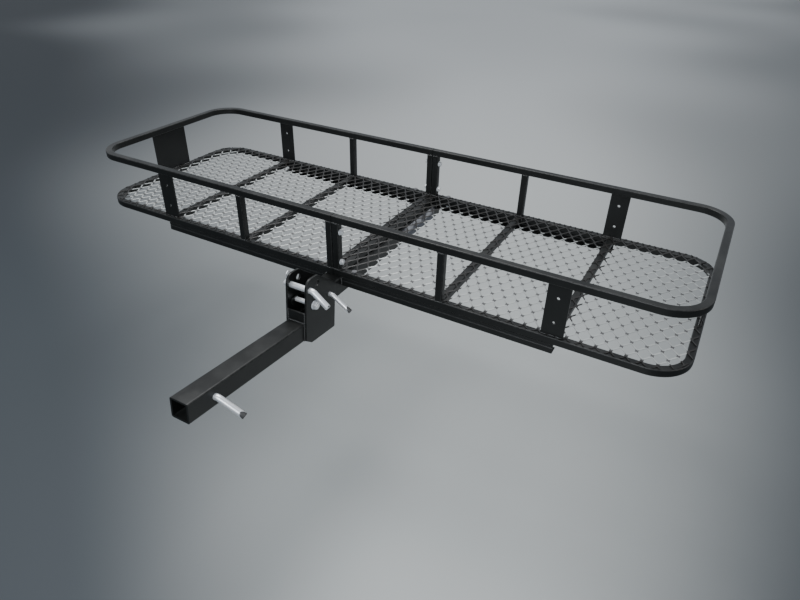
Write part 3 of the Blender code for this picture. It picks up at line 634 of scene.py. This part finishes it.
class CARRIER_OT_tubes(Operator):
    """Make the posts, cross bars and main beam"""
    bl_idname = "carrier.tubes"
    bl_label = "Posts and bars"

    def execute(self, context):
        for word in SIDES:
            for place in BARS:
                coated_copy(f"cross_bar_{place}_{word}", "carrier")
            for end in ENDS:
                coated_copy(f"narrow_post_{end}_{word}", "carrier")
                coated_copy(f"centre_post_{end}_{word}", "carrier")
        coated_copy("main_beam", "carrier")
        return {"FINISHED"}


class CARRIER_OT_plates(Operator):
    """Make the flat posts, end plates and support rails with rounded edges"""
    bl_idname = "carrier.plates"
    bl_label = "Plates"

    def execute(self, context):
        edge = context.scene.carrier_coat.edge
        for word in SIDES:
            coated_copy(f"end_plate_{word}", "carrier", edge)
            for end in ENDS:
                coated_copy(f"plate_post_{end}_{word}", "carrier", edge)
                coated_copy(f"support_rail_{end}_{word}", "carrier", edge / 2)
        return {"FINISHED"}


class CARRIER_OT_hitch(Operator):
    """Make the shank, ears and gusset"""
    bl_idname = "carrier.hitch"
    bl_label = "Hitch side"

    def execute(self, context):
        edge = context.scene.carrier_coat.edge
        turn = HITCH.to_3x3()
        coated_copy("shank_tube", "hitch_mount", turn=turn)
        coated_copy("ear_gusset", "hitch_mount", edge)
        for word in SIDES:
            coated_copy(f"hinge_ear_{word}", "hitch_mount", edge)
        return {"FINISHED"}


# ---- geometry node helpers
def new_node_tree(name, inputs):
    tree = bpy.data.node_groups.new(name, "GeometryNodeTree")
    tree.interface.new_socket("Geometry", in_out="INPUT", socket_type="NodeSocketGeometry")
    for label, kind, default in inputs:
        made = tree.interface.new_socket(label, in_out="INPUT", socket_type=f"NodeSocket{kind}")
        if default is not None:
            made.default_value = default
    tree.interface.new_socket("Geometry", in_out="OUTPUT", socket_type="NodeSocketGeometry")
    nodes = Nodes(tree)
    return tree, nodes, nodes.add("NodeGroupInput").outputs, nodes.add("NodeGroupOutput")


def finish_tree(nodes, geometry, material, result, merge=0.0):
    real = nodes.add("GeometryNodeRealizeInstances", {"Geometry": geometry}).outputs[0]
    if merge:
        joined = nodes.add("GeometryNodeMergeByDistance", {"Geometry": real, "Distance": merge})
        real = joined.outputs[0]
    painted = nodes.add("GeometryNodeSetMaterial", {"Geometry": real, "Material": material})
    nodes.feed(result.inputs["Geometry"], painted.outputs[0])


def grown(obj, tree, values):
    """Runs a node tree on an object and keeps its result as a plain mesh."""
    modifier = obj.modifiers.new(tree.name, "NODES")
    modifier.node_group = tree
    for item in tree.interface.items_tree:
        if item.item_type == "SOCKET" and item.in_out == "INPUT" and item.name in values:
            modifier[item.identifier] = values[item.name]
    obj.data = evaluated_mesh(obj)
    obj.modifiers.remove(obj.modifiers[tree.name])
    if not obj.data.polygons:
        raise RuntimeError(f"{obj.name} came out empty")
    return obj


def evaluated_mesh(obj):
    bpy.context.view_layer.update()
    depsgraph = bpy.context.evaluated_depsgraph_get()
    return bpy.data.meshes.new_from_object(obj.evaluated_get(depsgraph), depsgraph=depsgraph)


# ---- expanded floor sheets
def sheet_tree():
    """Lays the diamond that it is given on a staggered grid."""
    tree, nodes, given, result = new_node_tree(
        "expanded_sheet_grid",
        [("Columns", "Int", 10), ("Rows", "Int", 10), ("Short Way", "Float", 0.03),
         ("Long Way", "Float", 0.05), ("Centre", "Vector", (0, 0, 0)),
         ("Material", "Material", None)])
    size_x = nodes.times(nodes.less(given["Columns"], 1.0), given["Short Way"])
    size_y = nodes.times(nodes.less(given["Rows"], 1.0), given["Long Way"])
    grid = nodes.add("GeometryNodeMeshGrid", {"Size X": size_x, "Size Y": size_y,
                                              "Vertices X": given["Columns"],
                                              "Vertices Y": given["Rows"]}).outputs["Mesh"]
    half = nodes.add("ShaderNodeCombineXYZ", {"X": nodes.times(given["Short Way"], 0.5),
                                              "Y": nodes.times(given["Long Way"], 0.5)})
    shifted = nodes.add("GeometryNodeTransform", {"Geometry": grid,
                                                  "Translation": half.outputs["Vector"]})
    both = nodes.add("GeometryNodeJoinGeometry")
    nodes.tree.links.new(grid, both.inputs[0])
    nodes.tree.links.new(shifted.outputs[0], both.inputs[0])
    placed = nodes.add("GeometryNodeTransform", {"Geometry": both.outputs[0],
                                                 "Translation": given["Centre"]})
    laid = nodes.add("GeometryNodeInstanceOnPoints", {"Points": placed.outputs[0],
                                                      "Instance": given["Geometry"]})
    finish_tree(nodes, laid.outputs[0], given["Material"], result, merge=0.00002)
    return tree


def diamond_tile(settings):
    """One diamond's ring of metal, out to the middle of its strands and knuckles."""
    half_x = settings.pitch_x / 2
    bond = settings.bond / 2
    tip = settings.pitch_y / 2 - bond
    start = Vector((0.0, tip))
    run = (Vector((half_x, bond)) - start).normalized()
    inward = Vector((run.y, -run.x))
    if inward.dot(start) > 0:
        inward = -inward
    line = start + inward * settings.strand / 2
    open_x = half_x - settings.strand
    open_tip = line.y - run.y / run.x * line.x
    open_side = line.y + run.y / run.x * (open_x - line.x)
    outer = [(0, tip), (half_x, bond), (half_x, -bond),
             (0, -tip), (-half_x, -bond), (-half_x, bond)]
    inner = [(0, open_tip), (open_x, open_side), (open_x, -open_side), (0, -open_tip),
             (-open_x, -open_side), (-open_x, open_side)]
    bm = bmesh.new()
    knuckle = bm.verts.layers.float.new("knuckle")
    middle = settings.tilt / 2

    def ring(points, lift):
        made = []
        for x, y in points:
            side = (x > 0) - (x < 0)
            made.append(bm.verts.new((x, y, middle + lift * side)))
        return made

    rim = ring(outer, 0.0)
    mouth = ring(inner, settings.tilt / 2)
    centres = []
    for i in range(6):
        j = (i + 1) % 6
        rim_mid = bm.verts.new((rim[i].co + rim[j].co) / 2)
        mouth_mid = bm.verts.new((mouth[i].co + mouth[j].co) / 2)
        centres.append((rim_mid, mouth_mid))
    for vertex in rim:
        vertex[knuckle] = 1.0
    for i in (1, 2, 4, 5):
        mouth[i][knuckle] = 1.0
    for i in (1, 4):
        centres[i][0][knuckle] = 1.0
        centres[i][1][knuckle] = 1.0
    for i in range(6):
        j = (i + 1) % 6
        rim_mid, mouth_mid = centres[i]
        bm.faces.new((rim[i], mouth[i], mouth_mid, rim_mid))
        bm.faces.new((rim_mid, mouth_mid, mouth[j], rim[j]))
    bmesh.ops.recalc_face_normals(bm, faces=bm.faces)
    if bm.faces[0].normal.z < 0:
        bmesh.ops.reverse_faces(bm, faces=bm.faces)
    return bm


def trim_sheet(bm, side, corner):
    """Cuts the net to the sheet's rounded outline."""
    low_x, high_x = SHEET_LOW.x, SHEET_HIGH.x
    inset = HALF_LENGTH - high_x
    radius = corner - inset
    half_y = (SHEET_HIGH.y - SHEET_LOW.y) / 2
    cuts = [(Vector((side * low_x, 0, 0)), Vector((-side, 0, 0))),
            (Vector((side * high_x, 0, 0)), Vector((side, 0, 0))),
            (Vector((0, MID_Y - half_y, 0)), Vector((0, -1, 0))),
            (Vector((0, MID_Y + half_y, 0)), Vector((0, 1, 0)))]
    steps = 12
    for face in (-1, 1):
        centre = Vector((side * (high_x - radius), MID_Y + face * (half_y - radius), 0))
        for step in range(1, steps):
            angle = math.pi / 2 * step / steps
            out = Vector((side * math.cos(angle), face * math.sin(angle), 0))
            cuts.append((centre + out * radius, out))
    for point, out in cuts:
        bmesh.ops.bisect_plane(bm, geom=bm.verts[:] + bm.edges[:] + bm.faces[:], dist=1e-7,
                               plane_co=point, plane_no=out, clear_outer=True)


class CARRIER_OT_floor(Operator):
    """Make the two expanded-metal floor sheets"""
    bl_idname = "carrier.floor"
    bl_label = "Floor sheets"

    def execute(self, context):
        settings = context.scene.carrier_sheet
        corner = context.scene.carrier_coat.rail_corner
        tree = sheet_tree()
        width = SHEET_HIGH.x - SHEET_LOW.x
        depth = SHEET_HIGH.y - SHEET_LOW.y
        columns = int(width / settings.pitch_x) + 3
        rows = int(depth / settings.pitch_y) + 3
        bottom = SHEET_LOW.z + settings.thick
        for word, side in SIDES.items():
            middle_x = side * (SHEET_LOW.x + SHEET_HIGH.x) / 2
            obj = new_piece(f"floor_sheet_{word}", diamond_tile(settings), finish("expanded_sheet"))
            grown(obj, tree, {"Columns": columns, "Rows": rows, "Short Way": settings.pitch_x,
                              "Long Way": settings.pitch_y,
                              "Centre": (middle_x, MID_Y, bottom),
                              "Material": finish("expanded_sheet")})
            bm = bmesh.new()
            bm.from_mesh(obj.data)
            trim_sheet(bm, side, corner)
            bm.to_mesh(obj.data)
            bm.free()
            solid = obj.modifiers.new("sheet_thickness", "SOLIDIFY")
            solid.thickness = settings.thick
            solid.offset = -1.0
            obj.data = evaluated_mesh(obj)
            obj.modifiers.remove(solid)
            obj.data.shade_flat()
            settle(obj, "carrier", SHEET, f"floor_mesh_{word}")
        return {"FINISHED"}


# ---- welds
def weld_tree():
    """Sets overlapping ripples of slightly different sizes along the lines that it is given."""
    tree, nodes, given, result = new_node_tree(
        "weld_ripples",
        [("Ripple Pitch", "Float", 0.002), ("Bead Radius", "Float", 0.002), ("Seed", "Int", 0),
         ("Material", "Material", None)])
    curve = nodes.add("GeometryNodeMeshToCurve", {"Mesh": given["Geometry"]}).outputs[0]
    spaced = nodes.add("GeometryNodeResampleCurve",
                       {"Curve": curve, "Length": given["Ripple Pitch"]}, mode="LENGTH").outputs[0]
    ball = nodes.add("GeometryNodeMeshIcoSphere", {"Radius": given["Bead Radius"],
                                                   "Subdivisions": 2}).outputs["Mesh"]
    smooth = nodes.add("GeometryNodeSetShadeSmooth", {"Geometry": ball}).outputs[0]
    size = nodes.add("FunctionNodeRandomValue", {"Min": (RIPPLE_LOW,) * 3, "Max": (RIPPLE_HIGH,) * 3,
                                                 "Seed": given["Seed"]}, data_type="FLOAT_VECTOR")
    laid = nodes.add("GeometryNodeInstanceOnPoints", {"Points": spaced, "Instance": smooth,
                                                      "Scale": size.outputs[0]})
    finish_tree(nodes, laid.outputs[0], given["Material"], result)
    return tree


def inside_box(line, margin):
    """True where every point lies at least the margin inside the carrier's box."""
    low, high = CAD_BOX
    return all(low[axis] + margin < point[axis] < high[axis] - margin
               for point in line for axis in range(3))


def lines_object(name, lines):
    mesh = bpy.data.meshes.new(name)
    points = []
    edges = []
    for line in lines:
        for start, end in zip(line, line[1:]):
            edges.append((len(points), len(points) + 1))
            points += [start, end]
    mesh.from_pydata(points, edges, [])
    return linked(name, mesh)


def bead(low, high, axis, inset, **at):
    """A line along one axis of a box, inset at both ends and placed by the other two axes."""
    start, end = Vector(low), Vector(high)
    for name, value in at.items():
        setattr(start, name, value)
        setattr(end, name, value)
    setattr(start, axis, getattr(low, axis) + inset)
    setattr(end, axis, getattr(high, axis) - inset)
    return [start, end]


def post_welds(node, inset, both_sides):
    """Beads along both sides of a square post, at its foot and its head."""
    low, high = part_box(node)
    outward = 1 if low.x + high.x > 0 else -1
    lines = []
    for z in (low.z, high.z):
        for side in (-1, 1):
            if both_sides or side == outward:
                lines.append(bead(low, high, "y", inset, x=high.x if side > 0 else low.x, z=z))
        lines += [bead(low, high, "x", inset, y=y, z=z) for y in (low.y, high.y)]
    return lines


def basket_weld_lines(inset):
    lines = []
    for word, side in SIDES.items():
        for end in ENDS:
            lines += post_welds(f"narrow_post_{end}_{word}", inset, True)
            lines += post_welds(f"centre_post_{end}_{word}", inset, False)
            low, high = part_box(f"plate_post_{end}_{word}")
            lines += [bead(low, high, "x", inset, y=y, z=z)
                      for z in (low.z, high.z) for y in (low.y, high.y)]
            low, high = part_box(f"support_rail_{end}_{word}")
            x = low.x if side > 0 else high.x
            lines += [bead(low, high, "z", inset, x=x, y=y) for y in (low.y, high.y)]
        low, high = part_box(f"end_plate_{word}")
        lines += [bead(low, high, "y", inset, x=x, z=z)
                  for z in (low.z, high.z) for x in (low.x, high.x)]
        for place in BARS:
            low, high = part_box(f"cross_bar_{place}_{word}")
            for y in (low.y, high.y):
                lines += [bead(low, high, "z", inset, x=x, y=y) for x in (low.x, high.x)]
                lines.append(bead(low, high, "x", inset, y=y, z=low.z))
    return lines


def hitch_weld_lines(inset):
    """Beads where the ears and the gusset meet the shank, drawn level and then tipped."""
    lines = []
    shank_low, shank_high = hitch_box("shank_tube")
    gusset_low, gusset_high = hitch_box("ear_gusset")
    for word, side in SIDES.items():
        low, high = hitch_box(f"hinge_ear_{word}")
        x = side * shank_high.x
        lines += [bead(shank_low, shank_high, "z", inset, x=x, y=y) for y in (low.y, high.y)]
        lines.append([(x, low.y + EAR_CHAMFER, shank_low.z), (x, high.y - inset, shank_low.z)])
        lines.append(bead(low, high, "y", inset, x=x, z=shank_high.z))
        lines.append([(x, gusset_low.y, gusset_low.z + inset), (x, gusset_low.y, gusset_high.z)])
    lines.append(bead(gusset_low, gusset_high, "x", inset, y=gusset_low.y, z=shank_high.z))
    return [[HITCH @ Vector(point) for point in line] for line in lines]


class CARRIER_OT_welds(Operator):
    """Lay weld beads on the basket and on the hitch side"""
    bl_idname = "carrier.welds"
    bl_label = "Welds"

    def execute(self, context):
        settings = context.scene.carrier_weld
        tree = weld_tree()
        inset = settings.radius * 1.2
        for name, body, lines in (("basket_welds", "carrier", basket_weld_lines(inset)),
                                  ("hitch_welds", "hitch_mount", hitch_weld_lines(inset))):
            obj = lines_object(name, [line for line in lines if inside_box(line, 1.2 * inset)])
            grown(obj, tree, {"Ripple Pitch": settings.pitch, "Bead Radius": settings.radius,
                              "Seed": settings.seed, "Material": finish("coated_weld")})
            settle(obj, body, BLACK)
        return {"FINISHED"}


# ---- pins and fasteners
def bright_copy(node, body, tip=None):
    """A smooth zinc copy of a pin or wire; the handle's last part, tip long, is coloured dark."""
    bm = merged_copy(node)
    if tip is not None:
        cap = max(bm.faces, key=lambda face: face.calc_center_median().x)
        end, run = cap.calc_center_median(), cap.normal.copy()
        everything = bm.verts[:] + bm.edges[:] + bm.faces[:]
        bmesh.ops.bisect_plane(bm, geom=everything, dist=MERGE, plane_co=end - run * tip,
                               plane_no=run)
        layer = bm.faces.layers.float.new("dark_tip")
        for face in bm.faces:
            if (face.calc_center_median() - end).dot(run) > -tip + MERGE:
                face[layer] = 1.0
    obj = new_piece(f"{node}_bright", bm, finish("bright_zinc_plate"), 40.0)
    settle(obj, body, ZINC, node)


class CARRIER_OT_pins(Operator):
    """Make the three bent pull pins and the hairpin clip"""
    bl_idname = "carrier.pins"
    bl_label = "Pins"

    def execute(self, context):
        tip = context.scene.carrier_bright.tip
        bright_copy("upper_pull_pin", "upper_pin", tip / 10)
        bright_copy("rest_pull_pin", "rest_pin", tip)
        bright_copy("receiver_pin", "receiver_pin", tip)
        bright_copy("upper_pin_clip", "upper_pin_clip")
        return {"FINISHED"}


def circle(bm, radii, z):
    """One ring of points, with a radius for each."""
    turns = [math.tau * i / len(radii) for i in range(len(radii))]
    return [bm.verts.new((radius * math.cos(turn), radius * math.sin(turn), z))
            for radius, turn in zip(radii, turns)]


def lathe(bm, profile):
    """Turns (radius, height) points round Z; closed where the radius is zero."""
    rows = []
    for radius, height in profile:
        rows.append(circle(bm, [radius] * ROUND, height) if radius
                    else [bm.verts.new((0, 0, height))])
    join_rings(bm, rows)


def join_rings(bm, rows):
    for first, second in zip(rows, rows[1:]):
        for i in range(ROUND):
            j = (i + 1) % ROUND
            ring = [first[i % len(first)], first[j % len(first)],
                    second[j % len(second)], second[i % len(second)]]
            bm.faces.new(list(dict.fromkeys(ring)))


def hex_body(bm, across, height, bore):
    """Chamfered hexagon standing on Z = 0, with a bore or a closed top."""
    to_flat = [abs((i % 4) - 2) / 2 for i in range(ROUND)]
    reach = [across / 2 / math.cos(math.radians(30) * share) for share in to_flat]
    rim = across / 2 * 1.02
    face = across / 2 * 0.96
    top = [min(far, rim if share > 0.4 else face) for far, share in zip(reach, to_flat)]
    inner_low = circle(bm, [bore] * ROUND, 0)
    join_rings(bm, [inner_low, circle(bm, reach, 0), circle(bm, reach, height * 0.86),
                    circle(bm, top, height), circle(bm, [bore] * ROUND, height), inner_low])


def thread_profile(radius, start, end, pitch):
    """Saw-tooth outline of a thread from start to end, then a chamfered point."""
    root = radius - pitch * 0.5
    profile = []
    z = start
    while z + pitch < end - pitch:
        profile += [(root, z), (radius, z + pitch / 2)]
        z += pitch
    return profile + [(root, z), (root, end - pitch * 0.6), (radius * 0.7, end), (0, end)]


def closed_unit(name, bm):
    bmesh.ops.remove_doubles(bm, verts=bm.verts, dist=MERGE)
    bmesh.ops.recalc_face_normals(bm, faces=bm.faces)
    return new_piece(name, bm, finish("bright_zinc_plate"), 30.0)


def bolt_unit(name, radius, across, head, grip, tail, settings):
    """Head above Z = 0, shaft down through the grip, thread beyond it."""
    bm = bmesh.new()
    crown = across * 0.20
    hex_body(bm, across, head, crown)
    lathe(bm, [(crown, head * 0.97), (0, head * 0.97)])
    thread = thread_profile(radius, grip, grip + tail, settings.thread)
    lathe(bm, [(0, head * 0.5), (radius, head * 0.5), (radius, 0.001 - grip)]
          + [(r, -z) for r, z in thread])
    return closed_unit(name, bm)


def nut_unit(name, radius, across, height, settings):
    """Washer on Z = 0 with a bored hexagon on top of it."""
    bm = bmesh.new()
    foot = settings.washer * 0.6
    inner, outer = radius * 1.05, across * 0.62
    hex_body(bm, across, height - foot, radius * 1.04)
    bmesh.ops.translate(bm, verts=bm.verts, vec=(0, 0, foot))
    lathe(bm, [(inner, 0), (outer, 0), (outer, foot), (inner, foot), (inner, 0)])
    return closed_unit(name, bm)


def fastener_tree():
    """Stands the named fastener on each point, along the point's own facing direction."""
    tree, nodes, given, result = new_node_tree(
        "fastener_pattern", [("Fastener", "Object", None), ("Material", "Material", None)])
    unit = nodes.add("GeometryNodeObjectInfo", {"Object": given["Fastener"], "As Instance": True})
    facing = nodes.add("GeometryNodeInputNamedAttribute", {"Name": "facing"},
                       data_type="FLOAT_VECTOR").outputs[0]
    turn = nodes.add("FunctionNodeAlignRotationToVector", {"Vector": facing}, axis="Z").outputs[0]
    laid = nodes.add("GeometryNodeInstanceOnPoints", {"Points": given["Geometry"],
                                                      "Instance": unit.outputs["Geometry"],
                                                      "Rotation": turn})
    finish_tree(nodes, laid.outputs[0], given["Material"], result)
    return tree


def fastener_row(name, unit, spots, tree, body, look="bright_zinc_plate"):
    """One object of like fasteners; spots are (point, facing, the node that it replaces)."""
    points, facings, nodes = zip(*spots)
    mesh = bpy.data.meshes.new(name)
    mesh.from_pydata(points, [], [])
    layer = mesh.attributes.new("facing", "FLOAT_VECTOR", "POINT")
    for item, facing in zip(layer.data, facings):
        item.vector = facing
    obj = linked(name, mesh)
    grown(obj, tree, {"Fastener": unit, "Material": finish(look)})
    bpy.data.objects.remove(unit)
    settle(obj, body, ZINC, *nodes)


def cross_bolt(name, node, seat, radius, across, settings):
    """A bolt along X whose nut seats at x = seat; returns it with the height of its head."""
    low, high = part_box(node)
    head = -seat - low.x - SEAT_GAP
    return bolt_unit(name, radius, across, head, 2 * seat, high.x - seat, settings), head


class CARRIER_OT_fasteners(Operator):
    """Make the hex bolts and nuts of the basket and the pivot"""
    bl_idname = "carrier.fasteners"
    bl_label = "Bolts and nuts"

    def execute(self, context):
        settings = context.scene.carrier_bright
        tree = fastener_tree()
        leftward, rightward, upward = Vector((-1, 0, 0)), Vector((1, 0, 0)), Vector((0, 0, 1))
        bolts = []
        nuts = []
        clamps = []
        for end in ENDS:
            for level in LEVELS:
                low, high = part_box(f"join_nut_{end}_{level}")
                y, z = (low.y + high.y) / 2, (low.z + high.z) / 2
                bolts.append((Vector((-low.x, y, z)), leftward, f"join_bolt_{end}_{level}"))
                nuts.append((Vector((low.x, y, z)), rightward, f"join_nut_{end}_{level}"))
        unit, head = cross_bolt("join_bolt", "join_bolt_front_lower", low.x - SEAT_GAP,
                                BOLT_RADIUS, BOLT_ACROSS, settings)
        fastener_row("join_bolts", unit, bolts, tree, "carrier")

        for end in ENDS:
            for word in SIDES:
                low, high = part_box(f"clamp_bolt_{end}_{word}")
                nut_low, nut_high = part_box(f"clamp_nut_{end}_{word}")
                x, y = (low.x + high.x) / 2, (low.y + high.y) / 2
                clamps.append((Vector((x, y, RAIL_HIGH.z + SEAT_GAP)), upward,
                               f"clamp_bolt_{end}_{word}"))
                nuts.append((Vector((x, y, nut_high.z)), -upward, f"clamp_nut_{end}_{word}"))
        unit = bolt_unit("clamp_bolt", BOLT_RADIUS, BOLT_ACROSS, head, RAIL_HIGH.z - nut_high.z,
                         nut_high.z - low.z, settings)
        fastener_row("clamp_bolts", unit, clamps, tree, "carrier", "dull_zinc_plate")
        unit = nut_unit("basket_nut", BOLT_RADIUS, BOLT_ACROSS, nut_high.z - nut_low.z, settings)
        fastener_row("basket_nuts", unit, nuts, tree, "carrier")

        low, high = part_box("pivot_nut")
        unit, head = cross_bolt("pivot_bolt_unit", "pivot_bolt", low.x - SEAT_GAP, PIVOT_RADIUS,
                                PIVOT_ACROSS, settings)
        spot = (Vector((-low.x, PIVOT.y, PIVOT.z)), leftward, "pivot_bolt")
        fastener_row("pivot_bolt_bright", unit, [spot], tree, "hitch_mount")
        unit = nut_unit("pivot_nut_unit", PIVOT_RADIUS, PIVOT_ACROSS, high.x - low.x, settings)
        spot = (Vector((low.x, PIVOT.y, PIVOT.z)), rightward, "pivot_nut")
        fastener_row("pivot_nut_bright", unit, [spot], tree, "hitch_mount")
        return {"FINISHED"}


class CARRIER_OT_tag(Operator):
    """Make the blank silver tag on the beam's side"""
    bl_idname = "carrier.tag"
    bl_label = "Tag"

    def execute(self, context):
        node = frame["nodes"]["beam_side_tag"]
        node.data.materials.clear()
        node.data.materials.append(finish("plain_silver_foil"))
        return {"FINISHED"}


# ---- finishes and stage
class CARRIER_OT_finishes(Operator):
    """Make the carrier's surface finishes"""
    bl_idname = "carrier.finishes"
    bl_label = "Finishes"

    def execute(self, context):
        scene = context.scene
        surface_wear_group()
        coat_material(scene.carrier_coat)
        weld_material(scene.carrier_coat)
        sheet_material(scene.carrier_sheet, scene.carrier_coat)
        zinc_material(scene.carrier_bright)
        dull_zinc_material(scene.carrier_bright)
        foil_material(scene.carrier_bright)
        return {"FINISHED"}


def look_from(back, roll_deg):
    """Turn of a camera that looks along -back, rolled by roll_deg."""
    forward = -back
    right = forward.cross(Vector((0, 0, 1))).normalized()
    up = right.cross(forward)
    roll = math.radians(roll_deg)
    across = math.cos(roll) * right + math.sin(roll) * up
    upright = -math.sin(roll) * right + math.cos(roll) * up
    return Matrix((across, upright, back)).transposed()


def soft_light(name, place, target, size, power, colour):
    data = bpy.data.lights.new(name, "AREA")
    data.shape = "RECTANGLE"
    data.size, data.size_y = size
    data.energy = power
    data.color = colour
    obj = linked(name, data)
    obj.location = place
    obj.rotation_euler = (target - place).to_track_quat("-Z", "Y").to_euler()


def floor_material(settings, stand):
    """Painted light and shade: pale along the line of sight and paler still far ahead, with painted
    shade darkening both sides of it and a slow swirl in that shade's border.
    """
    nodes, shader = new_material("pale_floor", 0.0)
    place = nodes.place()
    cloud = nodes.noise(place, 0.40, 0.0, 0.4)
    parts = nodes.split(place)
    turn = math.radians(CAMERA_AZIMUTH_DEG)
    from_x = nodes.less(parts["X"], stand.x)
    from_y = nodes.less(parts["Y"], stand.y)
    sideways = nodes.plus(nodes.times(from_x, math.cos(turn)), nodes.times(from_y, math.sin(turn)))
    ahead = nodes.plus(nodes.times(from_x, -math.sin(turn)), nodes.times(from_y, math.cos(turn)))
    slant = nodes.math("DIVIDE", sideways, nodes.plus(ahead, 0.5))
    swirl = nodes.times(nodes.less(cloud, 0.5), 0.35)
    spread = nodes.math("ABSOLUTE", nodes.plus(nodes.less(slant, 0.13), swirl))
    # Painted light: the floor grows paler far ahead.
    pale = nodes.mix(nodes.fade(ahead, 1.5, 6.0), opaque(settings.floor), (0.86, 0.87, 0.85, 1.0))
    # Painted shade: darker to both sides of the line of sight.
    nodes.feed(shader["Base Color"],
               nodes.mix(nodes.fade(spread, 0.05, 0.66), pale, opaque(settings.far)))
    shader["Roughness"].default_value = 0.62


class CARRIER_OT_stage(Operator):
    """Make the pale floor, the soft lights and the camera"""
    bl_idname = "carrier.stage"
    bl_label = "Stage"

    def execute(self, context):
        settings = context.scene.carrier_stage
        low, high = CAD_BOX
        stand = Vector((0, MID_Y, RAIL_HIGH.z)) + CAMERA_OFFSET
        bm = bmesh.new()
        bmesh.ops.create_grid(bm, x_segments=1, y_segments=1, size=14.0)
        bmesh.ops.translate(bm, verts=bm.verts, vec=(0, 0, low.z - settings.floor_drop))
        floor_material(settings, stand)
        new_piece("pale_floor", bm, finish("pale_floor"))

        world = bpy.data.worlds.new("soft_room")
        world.use_nodes = True
        ambient = world.node_tree.nodes["Background"]
        ambient.inputs["Color"].default_value = (0.86, 0.92, 1.0, 1.0)
        ambient.inputs["Strength"].default_value = settings.sky
        context.scene.world = world

        centre = (low + high) / 2
        for name, place, size, power, colour in (
                ("overhead_softbox", (-0.6, 0.5, 2.4), (1.9, 1.3), 66, (1.0, 1.0, 1.0)),
                ("right_softbox", (2.6, 0.2, 1.1), (1.2, 1.2), 8, (1.0, 0.90, 0.84)),
                ("front_softbox", (0.6, -2.8, 1.6), (1.6, 1.2), 58, (0.92, 0.96, 1.0))):
            soft_light(name, centre + Vector(place), centre, size, power, colour)

        azimuth = math.radians(CAMERA_AZIMUTH_DEG)
        height = math.radians(CAMERA_HEIGHT_DEG)
        back = Vector((math.sin(azimuth) * math.cos(height), -math.cos(azimuth) * math.cos(height),
                       math.sin(height)))
        data = bpy.data.cameras.new("camera")
        data.lens = settings.lens
        data.sensor_width = 36.0
        camera = linked("camera", data)
        camera.matrix_world = Matrix.Translation(stand) @ look_from(back, CAMERA_ROLL_DEG).to_4x4()
        context.scene.camera = camera
        return {"FINISHED"}


# ---- panel and registration
BUILD_ORDER = (CARRIER_OT_finishes, CARRIER_OT_rails, CARRIER_OT_tubes, CARRIER_OT_plates,
               CARRIER_OT_hitch, CARRIER_OT_floor, CARRIER_OT_welds, CARRIER_OT_pins,
               CARRIER_OT_fasteners, CARRIER_OT_tag, CARRIER_OT_stage)
SETTINGS = (("carrier_coat", CoatSettings), ("carrier_sheet", SheetSettings),
            ("carrier_weld", WeldSettings), ("carrier_bright", BrightSettings),
            ("carrier_stage", StageSettings))


class CARRIER_PT_build(Panel):
    """Lists the carrier's build steps and settings"""
    bl_idname = "CARRIER_PT_build"
    bl_label = "Hitch cargo carrier"
    bl_space_type = "VIEW_3D"
    bl_region_type = "UI"
    bl_category = "Carrier"

    def draw(self, context):
        layout = self.layout
        for operator in BUILD_ORDER:
            layout.operator(operator.bl_idname)
        for name, group in SETTINGS:
            box = layout.box()
            values = getattr(context.scene, name)
            for field in group.__annotations__:
                box.prop(values, field)


def register():
    for name, group in SETTINGS:
        bpy.utils.register_class(group)
        setattr(bpy.types.Scene, name, PointerProperty(type=group))
    for operator in BUILD_ORDER:
        bpy.utils.register_class(operator)
    bpy.utils.register_class(CARRIER_PT_build)


def unregister():
    bpy.utils.unregister_class(CARRIER_PT_build)
    for operator in reversed(BUILD_ORDER):
        bpy.utils.unregister_class(operator)
    for name, group in reversed(SETTINGS):
        delattr(bpy.types.Scene, name)
        bpy.utils.unregister_class(group)


def main():
    register()
    bpy.ops.carrier.finishes()
    bpy.ops.carrier.rails()
    bpy.ops.carrier.tubes()
    bpy.ops.carrier.plates()
    bpy.ops.carrier.hitch()
    bpy.ops.carrier.floor()
    bpy.ops.carrier.welds()
    bpy.ops.carrier.pins()
    bpy.ops.carrier.fasteners()
    bpy.ops.carrier.tag()
    bpy.ops.carrier.stage()


if __name__ == "__main__":
    main()
